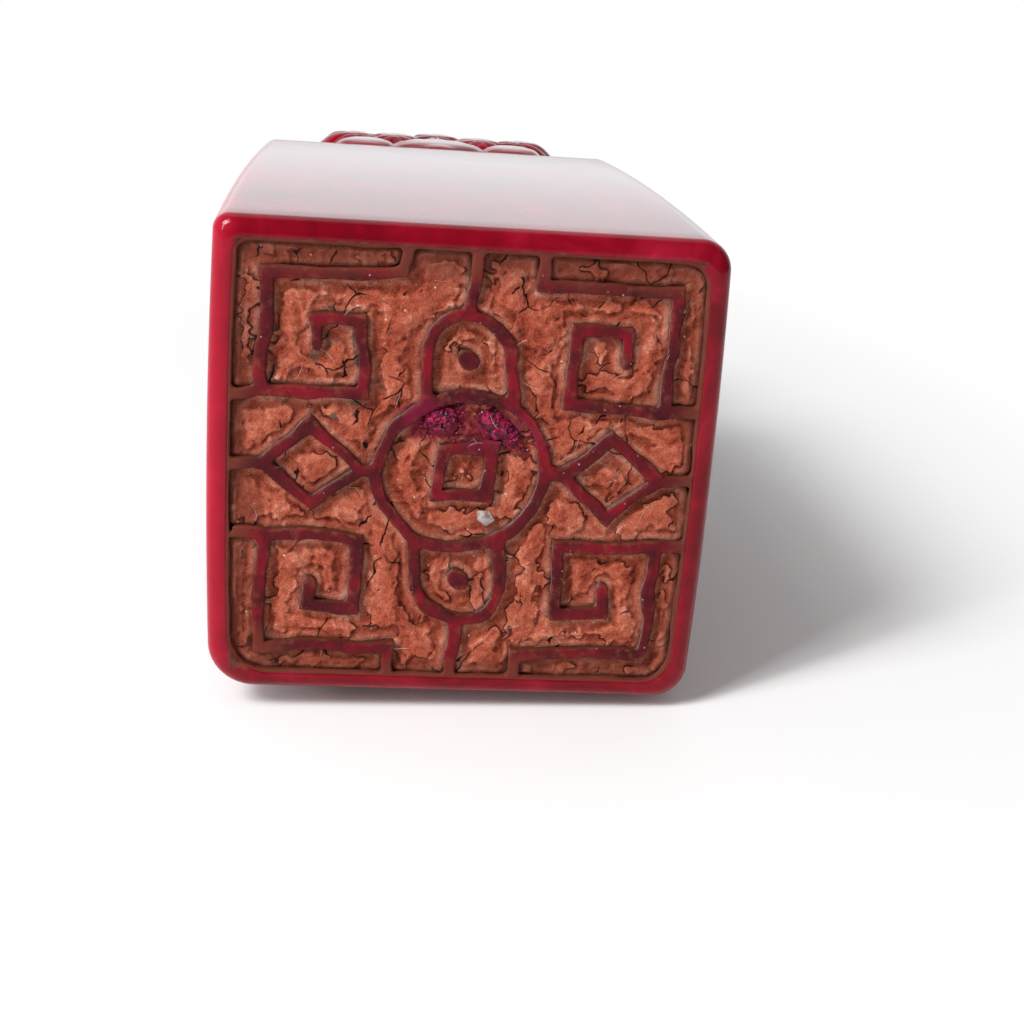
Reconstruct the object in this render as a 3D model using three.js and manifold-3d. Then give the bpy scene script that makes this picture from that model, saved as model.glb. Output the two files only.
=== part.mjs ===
// A square seal stamp carved with its lion knob from one block of cherry-red resin, with a relief printing
// face and old seal paste dried in the cells between the raised lines. Millimetres, Z up.
// The stamp lies on one side: the printing face looks along -Y, and the knob points along +Y.

import * as THREE from 'three';
import { mergeVertices } from 'three/addons/utils/BufferGeometryUtils.js';
import Module from 'manifold-3d';

const wasm = await Module();
wasm.setup();

// Block
const blockWidth = 38; // across X at the printing face
const blockHeight = 37.2; // up Z at the printing face
const blockLength = 60; // from the printing face to the shoulder
const shoulderWidth = 37.1;
const shoulderHeight = 36.2;
const widthSwell = 0.68; // how much fuller the polished block is halfway along, across X
const heightSwell = 0.42;
const sideBow = 0.38; // the left and right sides are slightly crowned
const cornerTopLeft = 2.4; // long edges, as seen from the printing face
const cornerTopRight = 3.4;
const cornerBottomRight = 3.7;
const cornerBottomLeft = 4.5;
const faceRounding = 1.3;
const shoulderRounding = 2.1;
const leastCorner = 0.3; // a corner keeps this radius where a rounding eats into it

// Printing face
const rimLand = 0.5; // flat border between the rounded edge and the recess
const recessDepth = 2;
const recessCorner = 0.8; // the least one: the recess follows the long edges around the rim
const strokeWidth = 0.95;
const strokeWander = 0.22; // how far a hand-cut line strays from its drawn course
const wanderAcross = 15; // wavelengths of the straying
const wanderUp = 17;
const wanderSkew = 0.18; // turns the waves, so that no two lines stray alike
const strokeRoot = 0.2; // how far a raised line goes on into the floor of the recess
const fieldMargin = 2; // from the recess wall to the middle of the outermost line
const coinRadius = 6.3;
const coinHoleHalf = 1.9;
const archRadius = 3.3;
const archRise = 2.7; // how far outside the coin's ring each arch is centred
const pearlRadius = 0.85;
const lozengeInnerTie = 1.2; // length of the line that ties a lozenge to the coin's ring
const lozengeOuterTie = 2.1; // and of the one that ties it to the rim
const lozengeSlope = 0.842; // rise of its sides per millimetre across
const fretTurnGap = 3.1; // from the fret's first line to its innermost one
const fretToArch = 1.6; // from the arch's line to the fret's first one
const fretToLozenge = 2.4; // from the lozenge's point to the fret's last line

// Seal paste
const pasteGap = 0.3; // dried paste has shrunk this far from the walls
const pasteFloorGap = 0.02;
const pasteLevel = 0.6; // mean depth of the paste's surface below the printing plane
const pasteRipple = 0.2;
const pasteRippleAcross = 6.1; // wavelengths of the ripples
const pasteRippleUp = 7.3;
const pasteRippleSkew = 0.3;
const pasteCells = 9; // grid cells along each side of the rippled surface
const crustUnevenness = 0.12; // share of the crust's size
// Each crust lies inside the coin's ring: the angle around it, and the distance inwards from it.
const crusts = [
  { name: 'ink_crust_left', around: 2.01, inwards: 1.8, width: 2.4, height: 1.7, thickness: 1.1, turn: -0.3 },
  { name: 'ink_crust_right', around: 0.94, inwards: 2.1, width: 3.8, height: 2, thickness: 1.2, turn: 0.7 },
];

// Lion knob, in the lion's own frame: x to its right, y forward, z up from the shoulder
const lionTrim = 0.1; // the knob stays this far inside the sides of the block it was carved from
const lionRoot = 1; // how far the lion's underside goes on into the block
const torso = { at: [0, -2.5, 7.6], radii: [9.2, 14.2, 8.4] };
const rump = { at: [0, -9.4, 7.8], radii: [10, 9.2, 8.6] };
const chest = { at: [0, 9.4, 8], radii: [8, 6.9, 8.4] };
const neck = { at: [1.2, 8.2, 14], radii: [7.4, 6.9, 6.8] };
const haunch = { at: [8.1, -10.7, 6.6], radii: [6, 7.9, 6.9] };
const shoulderMuscle = { at: [7.6, 6.6, 7.4], radii: [5, 5.8, 7.3] };
const hindFoot = { from: [10.6, -12, 2.4], to: [10.9, -2.6, 2.3], radii: [2.6, 2.5] };
const foreleg = { from: [8.9, 6.5, 4.4], to: [9.2, 12.2, 2.8], radii: [3.4, 2.8] };
const forepaw = { at: [9.3, 13.2, 2.6], radii: [3.3, 3.4, 2.9] };
const toeRadii = [1.35, 1.9, 1.7];
const toeSpread = 2; // from toe to toe
const toeHeight = 1.5;
const toeTuck = 1.2; // how far back from the front of the paw the toes are centred
const tailRoot = { from: [0, -14.6, 5.4], to: [0, -14, 12.6], radii: [3.6, 3.9] };
const tailPlumes = [
  { at: [-9.1, -13.8, 13.4], radii: [4.7, 4.5, 4.6] },
  { at: [9.1, -13.8, 13.4], radii: [4.7, 4.5, 4.6] },
  { at: [0, -13.5, 15], radii: [5, 4.9, 4.4] },
];
const spineKnobs = 5;
const spineKnobRadius = 1.5;
const spineStart = -6.5;
const spineEnd = 2;
const spineHeight = 15.4;

// Lion's head, in the head's own frame: x to its right, y out of the face, z up
const headAt = [3, 9, 17.6];
const headTurn = -0.95; // turned this many radians towards the lion's right
const skull = { at: [0, 0, 0], radii: [5.9, 6, 5.4] };
const muzzle = { at: [0, 5, -1.2], radii: [4.5, 3.5, 2.5] };
const jaw = { at: [0, 4, -4.7], radii: [3.4, 3.5, 1.5] };
const nose = { at: [0, 8, 0.2], radii: [2.3, 1.3, 1.2] };
const brow = { at: [2.9, 4.4, 3], radii: [2.3, 1.7, 1.2] };
const eye = { at: [2.6, 5.2, 1.2], radii: [1.4, 1.3, 1.3] };
const cheek = { at: [4.9, 2.6, -2.3], radii: [1.9, 2.2, 2.1] };
const ear = { at: [5.9, 1.9, 2.2], radii: [1.2, 1.5, 2.3] };
const curlRadius = 2;
const maneRows = [
  { curls: 9, back: 1.4, ring: 6, from: -0.7 },
  { curls: 7, back: 4.4, ring: 4.9, from: -0.45 },
];
const beard = { at: [1.6, 3.4, -6.6], radii: [1.5, 1.6, 1.6] };

// Fineness of the curved faces
const cornerSteps = 5;
const roundingSteps = 3;
const lengthSteps = 6;
const bowSteps = 4;
const ringSteps = 28; // around a full ring of the relief
const strokeEndSteps = 4; // around the half circle at the end of a line
const limbEndSteps = 3; // along the quarter circle at either end of a limb
const bodySphere = [14, 9]; // around and over a large form of the lion
const curlSphere = [6, 5];

// A closed three.js geometry as a manifold-3d solid.
function solid(geometry) {
  const bare = geometry.clone();
  for (const name of Object.keys(bare.attributes)) if (name !== 'position') bare.deleteAttribute(name);
  const merged = mergeVertices(bare, 1e-4);
  const mesh = { numProp: 3, vertProperties: merged.attributes.position.array, triVerts: merged.index.array };
  return new wasm.Manifold(new wasm.Mesh(mesh));
}

// A manifold-3d solid as a flat-shaded three.js geometry.
function geometryOf(made) {
  const mesh = made.getMesh();
  const geometry = new THREE.BufferGeometry();
  geometry.setAttribute('position', new THREE.BufferAttribute(mesh.vertProperties, mesh.numProp));
  geometry.setIndex(new THREE.BufferAttribute(mesh.triVerts, 1));
  geometry.computeVertexNormals();
  return geometry;
}

const joined = (solids) => solids.reduce((all, one) => all.add(one));

// The block's width and height, a share t of the way from the face to the shoulder.
function sizeAlong(t) {
  const fuller = 4 * t * (1 - t);
  return {
    width: THREE.MathUtils.lerp(blockWidth, shoulderWidth, t) + widthSwell * fuller,
    height: THREE.MathUtils.lerp(blockHeight, shoulderHeight, t) + heightSwell * fuller,
  };
}

// Anticlockwise outline of a rounded rectangle with crowned sides, standing on z = inset.
function outline(width, height, corners, inset = 0) {
  const halfWidth = width / 2 - inset;
  const low = inset;
  const high = height - inset;
  const points = [];
  const arc = (sideX, edgeZ, sideZ, radius, start) => {
    const r = Math.max(radius - inset, leastCorner);
    for (let i = 0; i <= cornerSteps; i++) {
      const angle = start + (i / cornerSteps) * (Math.PI / 2);
      const x = sideX * (halfWidth - r) + r * Math.cos(angle);
      const z = edgeZ - sideZ * r + r * Math.sin(angle);
      points.push([x, z]);
    }
  };
  const side = (sideX, from, to) => {
    for (let i = 1; i < bowSteps; i++) {
      points.push([sideX * halfWidth, THREE.MathUtils.lerp(from, to, i / bowSteps)]);
    }
  };
  arc(1, low, -1, corners.bottomRight, -Math.PI / 2);
  side(1, low + corners.bottomRight, high - corners.topRight);
  arc(1, high, 1, corners.topRight, 0);
  arc(-1, high, 1, corners.topLeft, Math.PI / 2);
  side(-1, high - corners.topLeft, low + corners.bottomLeft);
  arc(-1, low, -1, corners.bottomLeft, Math.PI);
  return points.map(([x, z]) => {
    const up = (2 * z) / height - 1;
    return [x * (1 + (sideBow * (1 - up * up)) / halfWidth), z];
  });
}

const blockCorners = {
  topLeft: cornerTopLeft,
  topRight: cornerTopRight,
  bottomRight: cornerBottomRight,
  bottomLeft: cornerBottomLeft,
};

// The skin through a row of outlines along Y, closed by a flat cap at each end.
function loft(rings) {
  const count = rings[0].points.length;
  const position = rings.flatMap((ring) => ring.points.flatMap(([x, z]) => [x, ring.y, z]));
  const index = [];
  for (let i = 0; i + 1 < rings.length; i++) {
    for (let j = 0; j < count; j++) {
      const a = i * count + j;
      const b = i * count + ((j + 1) % count);
      index.push(a, a + count, b, b, a + count, b + count);
    }
  }
  const far = (rings.length - 1) * count;
  for (let j = 1; j + 1 < count; j++) index.push(0, j, j + 1, far, far + j + 1, far + j);
  const geometry = new THREE.BufferGeometry();
  geometry.setAttribute('position', new THREE.Float32BufferAttribute(position, 3));
  geometry.setIndex(index);
  return geometry;
}

function blockSolid() {
  const rings = [];
  const ring = (y, inset) => {
    const size = sizeAlong(y / blockLength);
    rings.push({ y, points: outline(size.width, size.height, blockCorners, inset) });
  };
  for (let i = 0; i <= roundingSteps; i++) {
    const angle = (i / roundingSteps) * (Math.PI / 2);
    ring(faceRounding * (1 - Math.cos(angle)), faceRounding * (1 - Math.sin(angle)));
  }
  for (let i = 1; i < lengthSteps; i++) {
    ring(THREE.MathUtils.lerp(faceRounding, blockLength - shoulderRounding, i / lengthSteps), 0);
  }
  for (let i = 0; i <= roundingSteps; i++) {
    const angle = (i / roundingSteps) * (Math.PI / 2);
    ring(blockLength - shoulderRounding * (1 - Math.sin(angle)), shoulderRounding * (1 - Math.cos(angle)));
  }
  return solid(loft(rings));
}

// A prism of a shape drawn in X and Z, from the depth near to the depth far along Y.
function prism(shape, near, far) {
  const options = { depth: far - near, bevelEnabled: false };
  const geometry = new THREE.ExtrudeGeometry(shape, options);
  return geometry.rotateX(Math.PI / 2).translate(0, far, 0);
}

const rim = faceRounding + rimLand;
const recessWidth = blockWidth - 2 * rim;
const recessHeight = blockHeight - 2 * rim;
const faceMiddle = blockHeight / 2;

function recessShape(shrink = 0) {
  const corners = {};
  for (const [name, radius] of Object.entries(blockCorners)) corners[name] = Math.max(radius - rim, recessCorner);
  const points = outline(recessWidth, recessHeight, corners, shrink);
  return new THREE.Shape(points.map(([x, z]) => new THREE.Vector2(x, z - recessHeight / 2)));
}

// Where a hand-cut line really runs at a point of its drawn course.
function cutByHand([x, z]) {
  const across = strokeWander * Math.sin((2 * Math.PI * z) / wanderAcross + wanderSkew * x);
  const up = strokeWander * Math.sin((2 * Math.PI * x) / wanderUp - wanderSkew * z);
  return new THREE.Vector2(x + across, z + up);
}

// Points along a circular arc, from one angle to another.
function arcPoints([x, z], radius, from, to, steps) {
  return Array.from({ length: steps + 1 }, (_, i) => {
    const angle = THREE.MathUtils.lerp(from, to, i / steps);
    return [x + radius * Math.cos(angle), z + radius * Math.sin(angle)];
  });
}

// The side of a line that runs through the given points, at a distance to its left, with mitred corners.
function sidePoints(points, distance, closed) {
  const last = points.length - 1;
  return points.map((point, i) => {
    const before = points[i > 0 ? i - 1 : closed ? last : 0];
    const after = points[i < last ? i + 1 : closed ? 0 : last];
    const arriving = point.clone().sub(i > 0 || closed ? before : point).normalize();
    const leaving = after.clone().sub(point).normalize();
    const bisector = arriving.clone().add(leaving).normalize();
    const halfTurn = leaving.lengthSq() > 0 ? bisector.dot(leaving) : 1;
    const left = new THREE.Vector2(-bisector.y, bisector.x);
    return left.multiplyScalar(distance / halfTurn).add(point);
  });
}

// A raised line through the given points of its drawn course. A free end is round, and other ends are square.
function lineShape(course, width, { closed = false, freeEnd = false } = {}) {
  const points = course.map(cutByHand);
  const left = sidePoints(points, width / 2, closed);
  const right = sidePoints(points, -width / 2, closed);
  if (closed) {
    const size = (side) => Math.abs(THREE.ShapeUtils.area(side));
    const [outer, inner] = size(left) > size(right) ? [left, right] : [right, left];
    const shape = new THREE.Shape(outer);
    shape.holes.push(new THREE.Path(inner.reverse()));
    return shape;
  }
  const end = points[points.length - 1];
  const angle = left[left.length - 1].clone().sub(end).angle();
  const round = arcPoints([end.x, end.y], width / 2, angle, angle - Math.PI, strokeEndSteps).slice(1, -1);
  const cap = freeEnd ? round.map(([x, z]) => new THREE.Vector2(x, z)) : [];
  return new THREE.Shape([...left, ...cap, ...right.reverse()]);
}

// A raised ring, or the stretch of one between two angles.
function arcShape(centre, radius, width, from = 0, to = 2 * Math.PI) {
  const steps = Math.ceil((ringSteps * (to - from)) / (2 * Math.PI));
  const outer = arcPoints(centre, radius + width / 2, from, to, steps).map(cutByHand);
  const inner = arcPoints(centre, radius - width / 2, to, from, steps).map(cutByHand);
  if (to - from < 2 * Math.PI) return new THREE.Shape([...outer, ...inner]);
  const shape = new THREE.Shape(outer.slice(1));
  shape.holes.push(new THREE.Path(inner.slice(1)));
  return shape;
}

// The relief: a coin in the middle, a fret in each corner, arches above and below, lozenges at the sides.
// Each line is given as a function of how much wider it is drawn, so the paste can be cut clear of it.
function reliefShapes(wider) {
  const width = strokeWidth + 2 * wider;
  const reachX = recessWidth / 2 + rimLand / 2;
  const reachZ = recessHeight / 2 + rimLand / 2;
  const fieldX = recessWidth / 2 - fieldMargin;
  const fieldZ = recessHeight / 2 - fieldMargin;
  const hole = coinHoleHalf;
  const coinHole = [[-hole, -hole], [hole, -hole], [hole, hole], [-hole, hole]];
  const archCentre = coinRadius + archRise;
  const lozengeInner = coinRadius + lozengeInnerTie;
  const lozengeOuter = recessWidth / 2 - lozengeOuterTie;
  const lozengeCentre = (lozengeInner + lozengeOuter) / 2;
  const lozengeHalfHeight = lozengeSlope * (lozengeOuter - lozengeCentre);
  const fretStart = archRadius + fretToArch;
  const fretFoot = lozengeHalfHeight + fretToLozenge;
  const fretPitch = (fieldX - fretStart - fretTurnGap) / 2; // from line to line inside a corner fret
  const shapes = [arcShape([0, 0], coinRadius, width), lineShape(coinHole, width, { closed: true })];

  for (const up of [1, -1]) {
    const foot = Math.sqrt(coinRadius ** 2 - archRadius ** 2);
    const crown = arcPoints([0, archCentre], archRadius, 0, Math.PI, ringSteps / 2);
    const arch = [[archRadius, foot], ...crown, [-archRadius, foot]];
    const stem = [[0, archCentre + archRadius], [0, reachZ]];
    for (const course of [arch, stem]) shapes.push(lineShape(course.map(([x, z]) => [x, up * z]), width));
    shapes.push(pearlShape(up * archCentre, pearlRadius + wider));
  }

  for (const right of [1, -1]) {
    const above = [lozengeCentre, lozengeHalfHeight];
    const below = [lozengeCentre, -lozengeHalfHeight];
    const lozenge = [[lozengeInner, 0], above, [lozengeOuter, 0], below];
    const ties = [[[coinRadius, 0], [lozengeInner, 0]], [[lozengeOuter, 0], [reachX, 0]]];
    const across = (course) => course.map(([x, z]) => [right * x, z]);
    shapes.push(lineShape(across(lozenge), width, { closed: true }));
    for (const tie of ties) shapes.push(lineShape(across(tie), width));
    for (const up of [1, -1]) {
      const into = (course) => course.map(([x, z]) => [right * x, up * z]);
      const fret = [
        [fretStart, reachZ],
        [fretStart, fieldZ],
        [fieldX, fieldZ],
        [fieldX, fretFoot],
        [fieldX - 2 * fretPitch, fretFoot],
        [fieldX - 2 * fretPitch, fieldZ - fretPitch],
        [fieldX - fretPitch, fieldZ - fretPitch],
        [fieldX - fretPitch, fretFoot + fretPitch],
      ];
      shapes.push(lineShape(into(fret), width, { freeEnd: true }));
      shapes.push(lineShape(into([[fieldX, fretFoot], [reachX, fretFoot]]), width));
    }
  }
  return shapes;
}

const pearlShape = (z, radius) =>
  new THREE.Shape(arcPoints([0, z], radius, 0, 2 * Math.PI, ringSteps / 2).slice(1).map(cutByHand));

const reliefSolid = (wider, near, far) =>
  joined(reliefShapes(wider).map((shape) => solid(prism(shape, near, far).translate(0, 0, faceMiddle))));

// The lion
function ellipsoid({ at, radii }, [around, over] = bodySphere) {
  return new THREE.SphereGeometry(1, around, over).scale(...radii).translate(...at);
}

// A tapered limb with a round end about each of two points.
function limb({ from, to, radii: [r0, r1] }) {
  const start = new THREE.Vector3(...from);
  const along = new THREE.Vector3(...to).sub(start);
  const length = along.length();
  const quarter = Math.PI / 2;
  const profile = [
    ...arcPoints([0, 0], r0, -quarter, 0, limbEndSteps),
    ...arcPoints([0, length], r1, 0, quarter, limbEndSteps),
  ].map(([x, y]) => new THREE.Vector2(x, y));
  profile[0].x = 0;
  profile[profile.length - 1].x = 0;
  const turn = new THREE.Quaternion().setFromUnitVectors(new THREE.Vector3(0, 1, 0), along.normalize());
  return new THREE.LatheGeometry(profile, bodySphere[0]).applyQuaternion(turn).translate(...from);
}

const mirrored = (form) => {
  const flip = (point) => point && [-point[0], point[1], point[2]];
  return { ...form, at: flip(form.at), from: flip(form.from), to: flip(form.to) };
};

const bothSides = (form, make) => [make(form), make(mirrored(form))];

function headGeometries() {
  const small = (form) => ellipsoid(form, curlSphere);
  const parts = [ellipsoid(skull), ellipsoid(muzzle), ellipsoid(jaw), small(nose)];
  for (const form of [brow, eye, ear, cheek, beard]) parts.push(...bothSides(form, small));
  for (const row of maneRows) {
    for (let i = 0; i < row.curls; i++) {
      const angle = THREE.MathUtils.lerp(row.from, Math.PI - row.from, i / (row.curls - 1));
      const at = [row.ring * Math.cos(angle), -row.back, row.ring * Math.sin(angle)];
      parts.push(small({ at, radii: [curlRadius, curlRadius, curlRadius] }));
    }
  }
  for (const part of parts) part.rotateZ(headTurn).translate(...headAt);
  return parts;
}

// Three toes side by side at the front of a foot.
const toes = ([x, y]) =>
  [-1, 0, 1].map((n) => ellipsoid({ at: [x + n * toeSpread, y, toeHeight], radii: toeRadii }, curlSphere));

function lionSolid() {
  const parts = [torso, rump, chest, neck, ...tailPlumes].map((form) => ellipsoid(form));
  parts.push(limb(tailRoot));
  for (const form of [haunch, shoulderMuscle, forepaw]) parts.push(...bothSides(form, ellipsoid));
  for (const form of [hindFoot, foreleg]) parts.push(...bothSides(form, limb));
  for (const side of [1, -1]) {
    parts.push(...toes([side * forepaw.at[0], forepaw.at[1] + forepaw.radii[1] - toeTuck]));
    parts.push(...toes([side * hindFoot.to[0], hindFoot.to[1] + hindFoot.radii[1] - toeTuck]));
  }
  for (let i = 0; i < spineKnobs; i++) {
    const at = [0, THREE.MathUtils.lerp(spineStart, spineEnd, i / (spineKnobs - 1)), spineHeight];
    parts.push(ellipsoid({ at, radii: [spineKnobRadius, spineKnobRadius, spineKnobRadius] }, curlSphere));
  }
  parts.push(...headGeometries());
  return joined(parts.map(solid));
}

// The lion stands on the shoulder, facing down the block, and stays inside the stock it is carved from.
function knobSolid() {
  const lion = geometryOf(lionSolid()).rotateX(-Math.PI / 2).translate(0, blockLength, shoulderHeight / 2);
  const top = new THREE.Box3().setFromBufferAttribute(lion.getAttribute('position')).max.y;
  const stock = outline(shoulderWidth, shoulderHeight, blockCorners, lionTrim);
  const rings = [blockLength - lionRoot, top + lionRoot].map((y) => ({ y, points: stock }));
  return solid(lion).intersect(solid(loft(rings)));
}

// Seal paste: one rippled slab in the recess, cut clear of the lines and so left as a cake in each cell.
function pasteSolid() {
  const slab = new THREE.BoxGeometry(recessWidth, recessDepth, recessHeight, pasteCells, 1, pasteCells);
  slab.translate(0, recessDepth / 2, 0);
  const position = slab.getAttribute('position');
  for (let i = 0; i < position.count; i++) {
    const x = position.getX(i);
    const z = position.getZ(i);
    const across = Math.sin((2 * Math.PI * x) / pasteRippleAcross + pasteRippleSkew * z);
    const up = Math.sin((2 * Math.PI * z) / pasteRippleUp - pasteRippleSkew * x);
    const surface = pasteLevel + (pasteRipple / 2) * (across + up);
    position.setY(i, position.getY(i) < recessDepth / 2 ? surface : recessDepth - pasteFloorGap);
  }
  const inside = solid(prism(recessShape(pasteGap), 0, recessDepth));
  return solid(slab).intersect(inside).translate([0, 0, faceMiddle]);
}

// A crust of dried ink, an uneven lump bedded in the paste.
function crustSolid({ around, inwards, width, height, thickness, turn }, larger = 0) {
  const lump = new THREE.SphereGeometry(1, ...bodySphere);
  const position = lump.getAttribute('position');
  for (let i = 0; i < position.count; i++) {
    const p = new THREE.Vector3().fromBufferAttribute(position, i);
    const uneven = 1 + crustUnevenness * Math.sin(5 * p.x + 2 * p.z) * Math.cos(4 * p.z + p.y);
    position.setXYZ(i, p.x * uneven, p.y, p.z * uneven);
  }
  lump.scale(width / 2 + larger, thickness / 2 + larger, height / 2 + larger).rotateY(turn);
  const x = (coinRadius - inwards) * Math.cos(around);
  const z = (coinRadius - inwards) * Math.sin(around);
  return solid(lump.translate(x, thickness / 2 + pasteGap / 2, faceMiddle + z));
}

const named = (name, made, material) => {
  const mesh = new THREE.Mesh(geometryOf(made), material);
  mesh.name = name;
  return mesh;
};

// Band by band from the top, above, beside and below the coin, and in each band from the left.
// A cake's place in its band is told by its left edge first, and then by its right one.
function inReadingOrder(cakes) {
  const bandHalfHeight = coinRadius / 2;
  const place = (cake) => {
    const box = cake.boundingBox();
    const up = (box.min[2] + box.max[2]) / 2 - faceMiddle;
    const band = Math.abs(up) < bandHalfHeight ? 0 : Math.sign(up);
    return box.min[0] + box.max[0] / 2 - band * 2 * blockWidth;
  };
  return [...cakes].sort((a, b) => place(a) - place(b));
}

const resin = new THREE.MeshStandardMaterial({ name: 'cherry_resin', color: '#8e1226', roughness: 0.15 });
const paste = new THREE.MeshStandardMaterial({ name: 'dried_paste', color: '#b0603f', roughness: 0.9 });
const crustInk = new THREE.MeshStandardMaterial({ name: 'dried_ink', color: '#8f1450', roughness: 0.5 });

const seal = new THREE.Group();
const recess = solid(prism(recessShape(), -1, recessDepth)).translate([0, 0, faceMiddle]);
const relief = reliefSolid(0, 0, recessDepth + strokeRoot);
seal.add(named('seal_block', blockSolid().subtract(recess).add(relief).add(knobSolid()), resin));

const clearOfLines = reliefSolid(pasteGap, -1, recessDepth + 1);
const clearOfCrusts = joined(crusts.map((crust) => crustSolid(crust, pasteGap)));
const cakes = pasteSolid().subtract(clearOfLines).subtract(clearOfCrusts).decompose();
inReadingOrder(cakes).forEach((cake, i) => {
  seal.add(named('paste_cake_' + String(i + 1).padStart(2, '0'), cake, paste));
});
for (const crust of crusts) seal.add(named(crust.name, crustSolid(crust).subtract(clearOfLines), crustInk));

// The origin is under the middle of the stamp, on the surface that it lies on.
const extent = new THREE.Box3().setFromObject(seal, true);
const middle = extent.getCenter(new THREE.Vector3());
seal.position.set(-middle.x, -middle.y, -extent.min.z);

export default seal;
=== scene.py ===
import math

import bpy
import bmesh
import numpy as np
from mathutils import Matrix, Vector, kdtree, noise


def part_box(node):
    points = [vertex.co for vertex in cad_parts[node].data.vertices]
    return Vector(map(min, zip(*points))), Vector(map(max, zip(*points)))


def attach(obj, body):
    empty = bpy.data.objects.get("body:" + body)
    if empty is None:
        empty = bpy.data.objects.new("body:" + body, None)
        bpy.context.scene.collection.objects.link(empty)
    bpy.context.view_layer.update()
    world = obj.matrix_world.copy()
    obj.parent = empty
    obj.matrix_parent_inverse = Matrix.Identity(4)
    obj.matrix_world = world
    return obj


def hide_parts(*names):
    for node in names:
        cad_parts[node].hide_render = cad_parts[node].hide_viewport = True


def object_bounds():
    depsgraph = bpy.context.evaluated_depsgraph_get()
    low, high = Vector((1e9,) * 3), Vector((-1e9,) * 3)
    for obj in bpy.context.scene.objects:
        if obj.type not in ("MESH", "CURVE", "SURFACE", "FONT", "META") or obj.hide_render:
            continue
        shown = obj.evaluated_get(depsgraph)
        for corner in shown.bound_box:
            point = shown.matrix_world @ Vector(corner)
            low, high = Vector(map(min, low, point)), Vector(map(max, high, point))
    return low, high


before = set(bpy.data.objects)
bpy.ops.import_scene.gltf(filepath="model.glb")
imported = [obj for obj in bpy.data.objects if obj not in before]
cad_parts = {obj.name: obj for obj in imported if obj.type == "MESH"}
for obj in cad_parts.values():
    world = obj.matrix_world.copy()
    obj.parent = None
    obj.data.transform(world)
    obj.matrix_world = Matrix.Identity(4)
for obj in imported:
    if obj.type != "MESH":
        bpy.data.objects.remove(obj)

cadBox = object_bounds()
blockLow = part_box("seal_block")[0]
mm = 0.001
faceY = blockLow.y / mm          # the printing face, in millimetres
print("frame loaded, printing face at y =", round(faceY, 2), "mm")


# helpers for every piece. They are modelled in millimetres

def linear(hexColour):
    # sRGB hex to the linear colour that a shader takes
    parts = [int(hexColour[i:i + 2], 16) / 255 for i in (1, 3, 5)]
    return tuple(c / 12.92 if c <= 0.04045 else ((c + 0.055) / 1.055) ** 2.4 for c in parts) + (1.0,)


def selectOnly(*pieces):
    # the first of them becomes the active one
    if bpy.context.mode != "OBJECT":
        bpy.ops.object.mode_set(mode="OBJECT")
    bpy.ops.object.select_all(action="DESELECT")
    for piece in pieces:
        piece.select_set(True)
    bpy.context.view_layer.objects.active = pieces[0]


def applyAll(piece):
    selectOnly(piece)
    for modifier in list(piece.modifiers):
        bpy.ops.object.modifier_apply(modifier=modifier.name)


def remesh(piece, voxel, smoothing):
    # an even skin all over, so that fine forms can be pushed in and out of it
    skin = piece.modifiers.new("skin", "REMESH")
    skin.mode = "VOXEL"
    skin.voxel_size = voxel
    soften = piece.modifiers.new("soften", "SMOOTH")
    soften.factor = 0.5
    soften.iterations = smoothing
    applyAll(piece)


def thinTo(piece, mostTriangles):
    # the skin is quads, so it has twice as many triangles as faces
    thin = piece.modifiers.new("thin", "DECIMATE")
    thin.ratio = min(1, mostTriangles / (2 * len(piece.data.polygons)))
    applyAll(piece)


def copyOfNode(nodeName, pieceName):
    # a CAD node's own mesh, merged and in millimetres
    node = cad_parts[nodeName]
    piece = bpy.data.objects.new(pieceName, node.data.copy())
    bpy.context.scene.collection.objects.link(piece)
    piece.data.materials.clear()
    piece.data.transform(Matrix.Scale(1 / mm, 4))
    selectOnly(piece)
    bpy.ops.object.mode_set(mode="EDIT")
    bpy.ops.mesh.select_all(action="SELECT")
    bpy.ops.mesh.remove_doubles(threshold=0.002)
    bpy.ops.object.mode_set(mode="OBJECT")
    return piece


def cutAway(piece, point, normal):
    # everything on the normal's side of the plane goes, and the cut is closed
    selectOnly(piece)
    bpy.ops.object.mode_set(mode="EDIT")
    bpy.ops.mesh.select_all(action="SELECT")
    bpy.ops.mesh.bisect(plane_co=point, plane_no=normal, use_fill=True, clear_outer=True, threshold=0.0001)
    bpy.ops.object.mode_set(mode="OBJECT")


def finishPiece(piece, material, nodes, smoothAngle=None):
    # back to metres with its place in its mesh, then onto the body it belongs to
    selectOnly(piece)
    bpy.ops.object.transform_apply()
    piece.scale = (mm, mm, mm)
    bpy.ops.object.transform_apply()
    if smoothAngle is None:
        bpy.ops.object.shade_smooth()
    else:
        bpy.ops.object.shade_smooth_by_angle(angle=math.radians(smoothAngle))
    piece.data.materials.clear()
    piece.data.materials.append(material)
    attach(piece, "root")
    if nodes:
        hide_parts(*nodes)


def skinOf(piece):
    # the places and normals of all of a mesh's points
    count = len(piece.data.vertices)
    places = np.empty(count * 3, np.float32)
    normals = np.empty(count * 3, np.float32)
    piece.data.vertices.foreach_get("co", places)
    piece.data.vertices.foreach_get("normal", normals)
    return places.reshape(-1, 3), normals.reshape(-1, 3)


def setSkin(piece, places):
    piece.data.vertices.foreach_set("co", places.astype(np.float32).ravel())
    piece.data.update()


def waves(places, size, shift=0.0, stretch=(1, 1, 1)):
    # smooth noise from -1 to 1, with lumps of a size in millimetres
    return np.array([noise.noise(p) for p in (places / (np.array(stretch) * size) + shift).tolist()])


def creases(places, size):
    # from 0 at the middle of a lump to about 1 in the sharp creases between lumps
    warped = places / size + 0.35 * waves(places, size * 0.7, 51.0)[:, None]
    return np.array([noise.voronoi(p)[0][0] for p in warped.tolist()])


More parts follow.
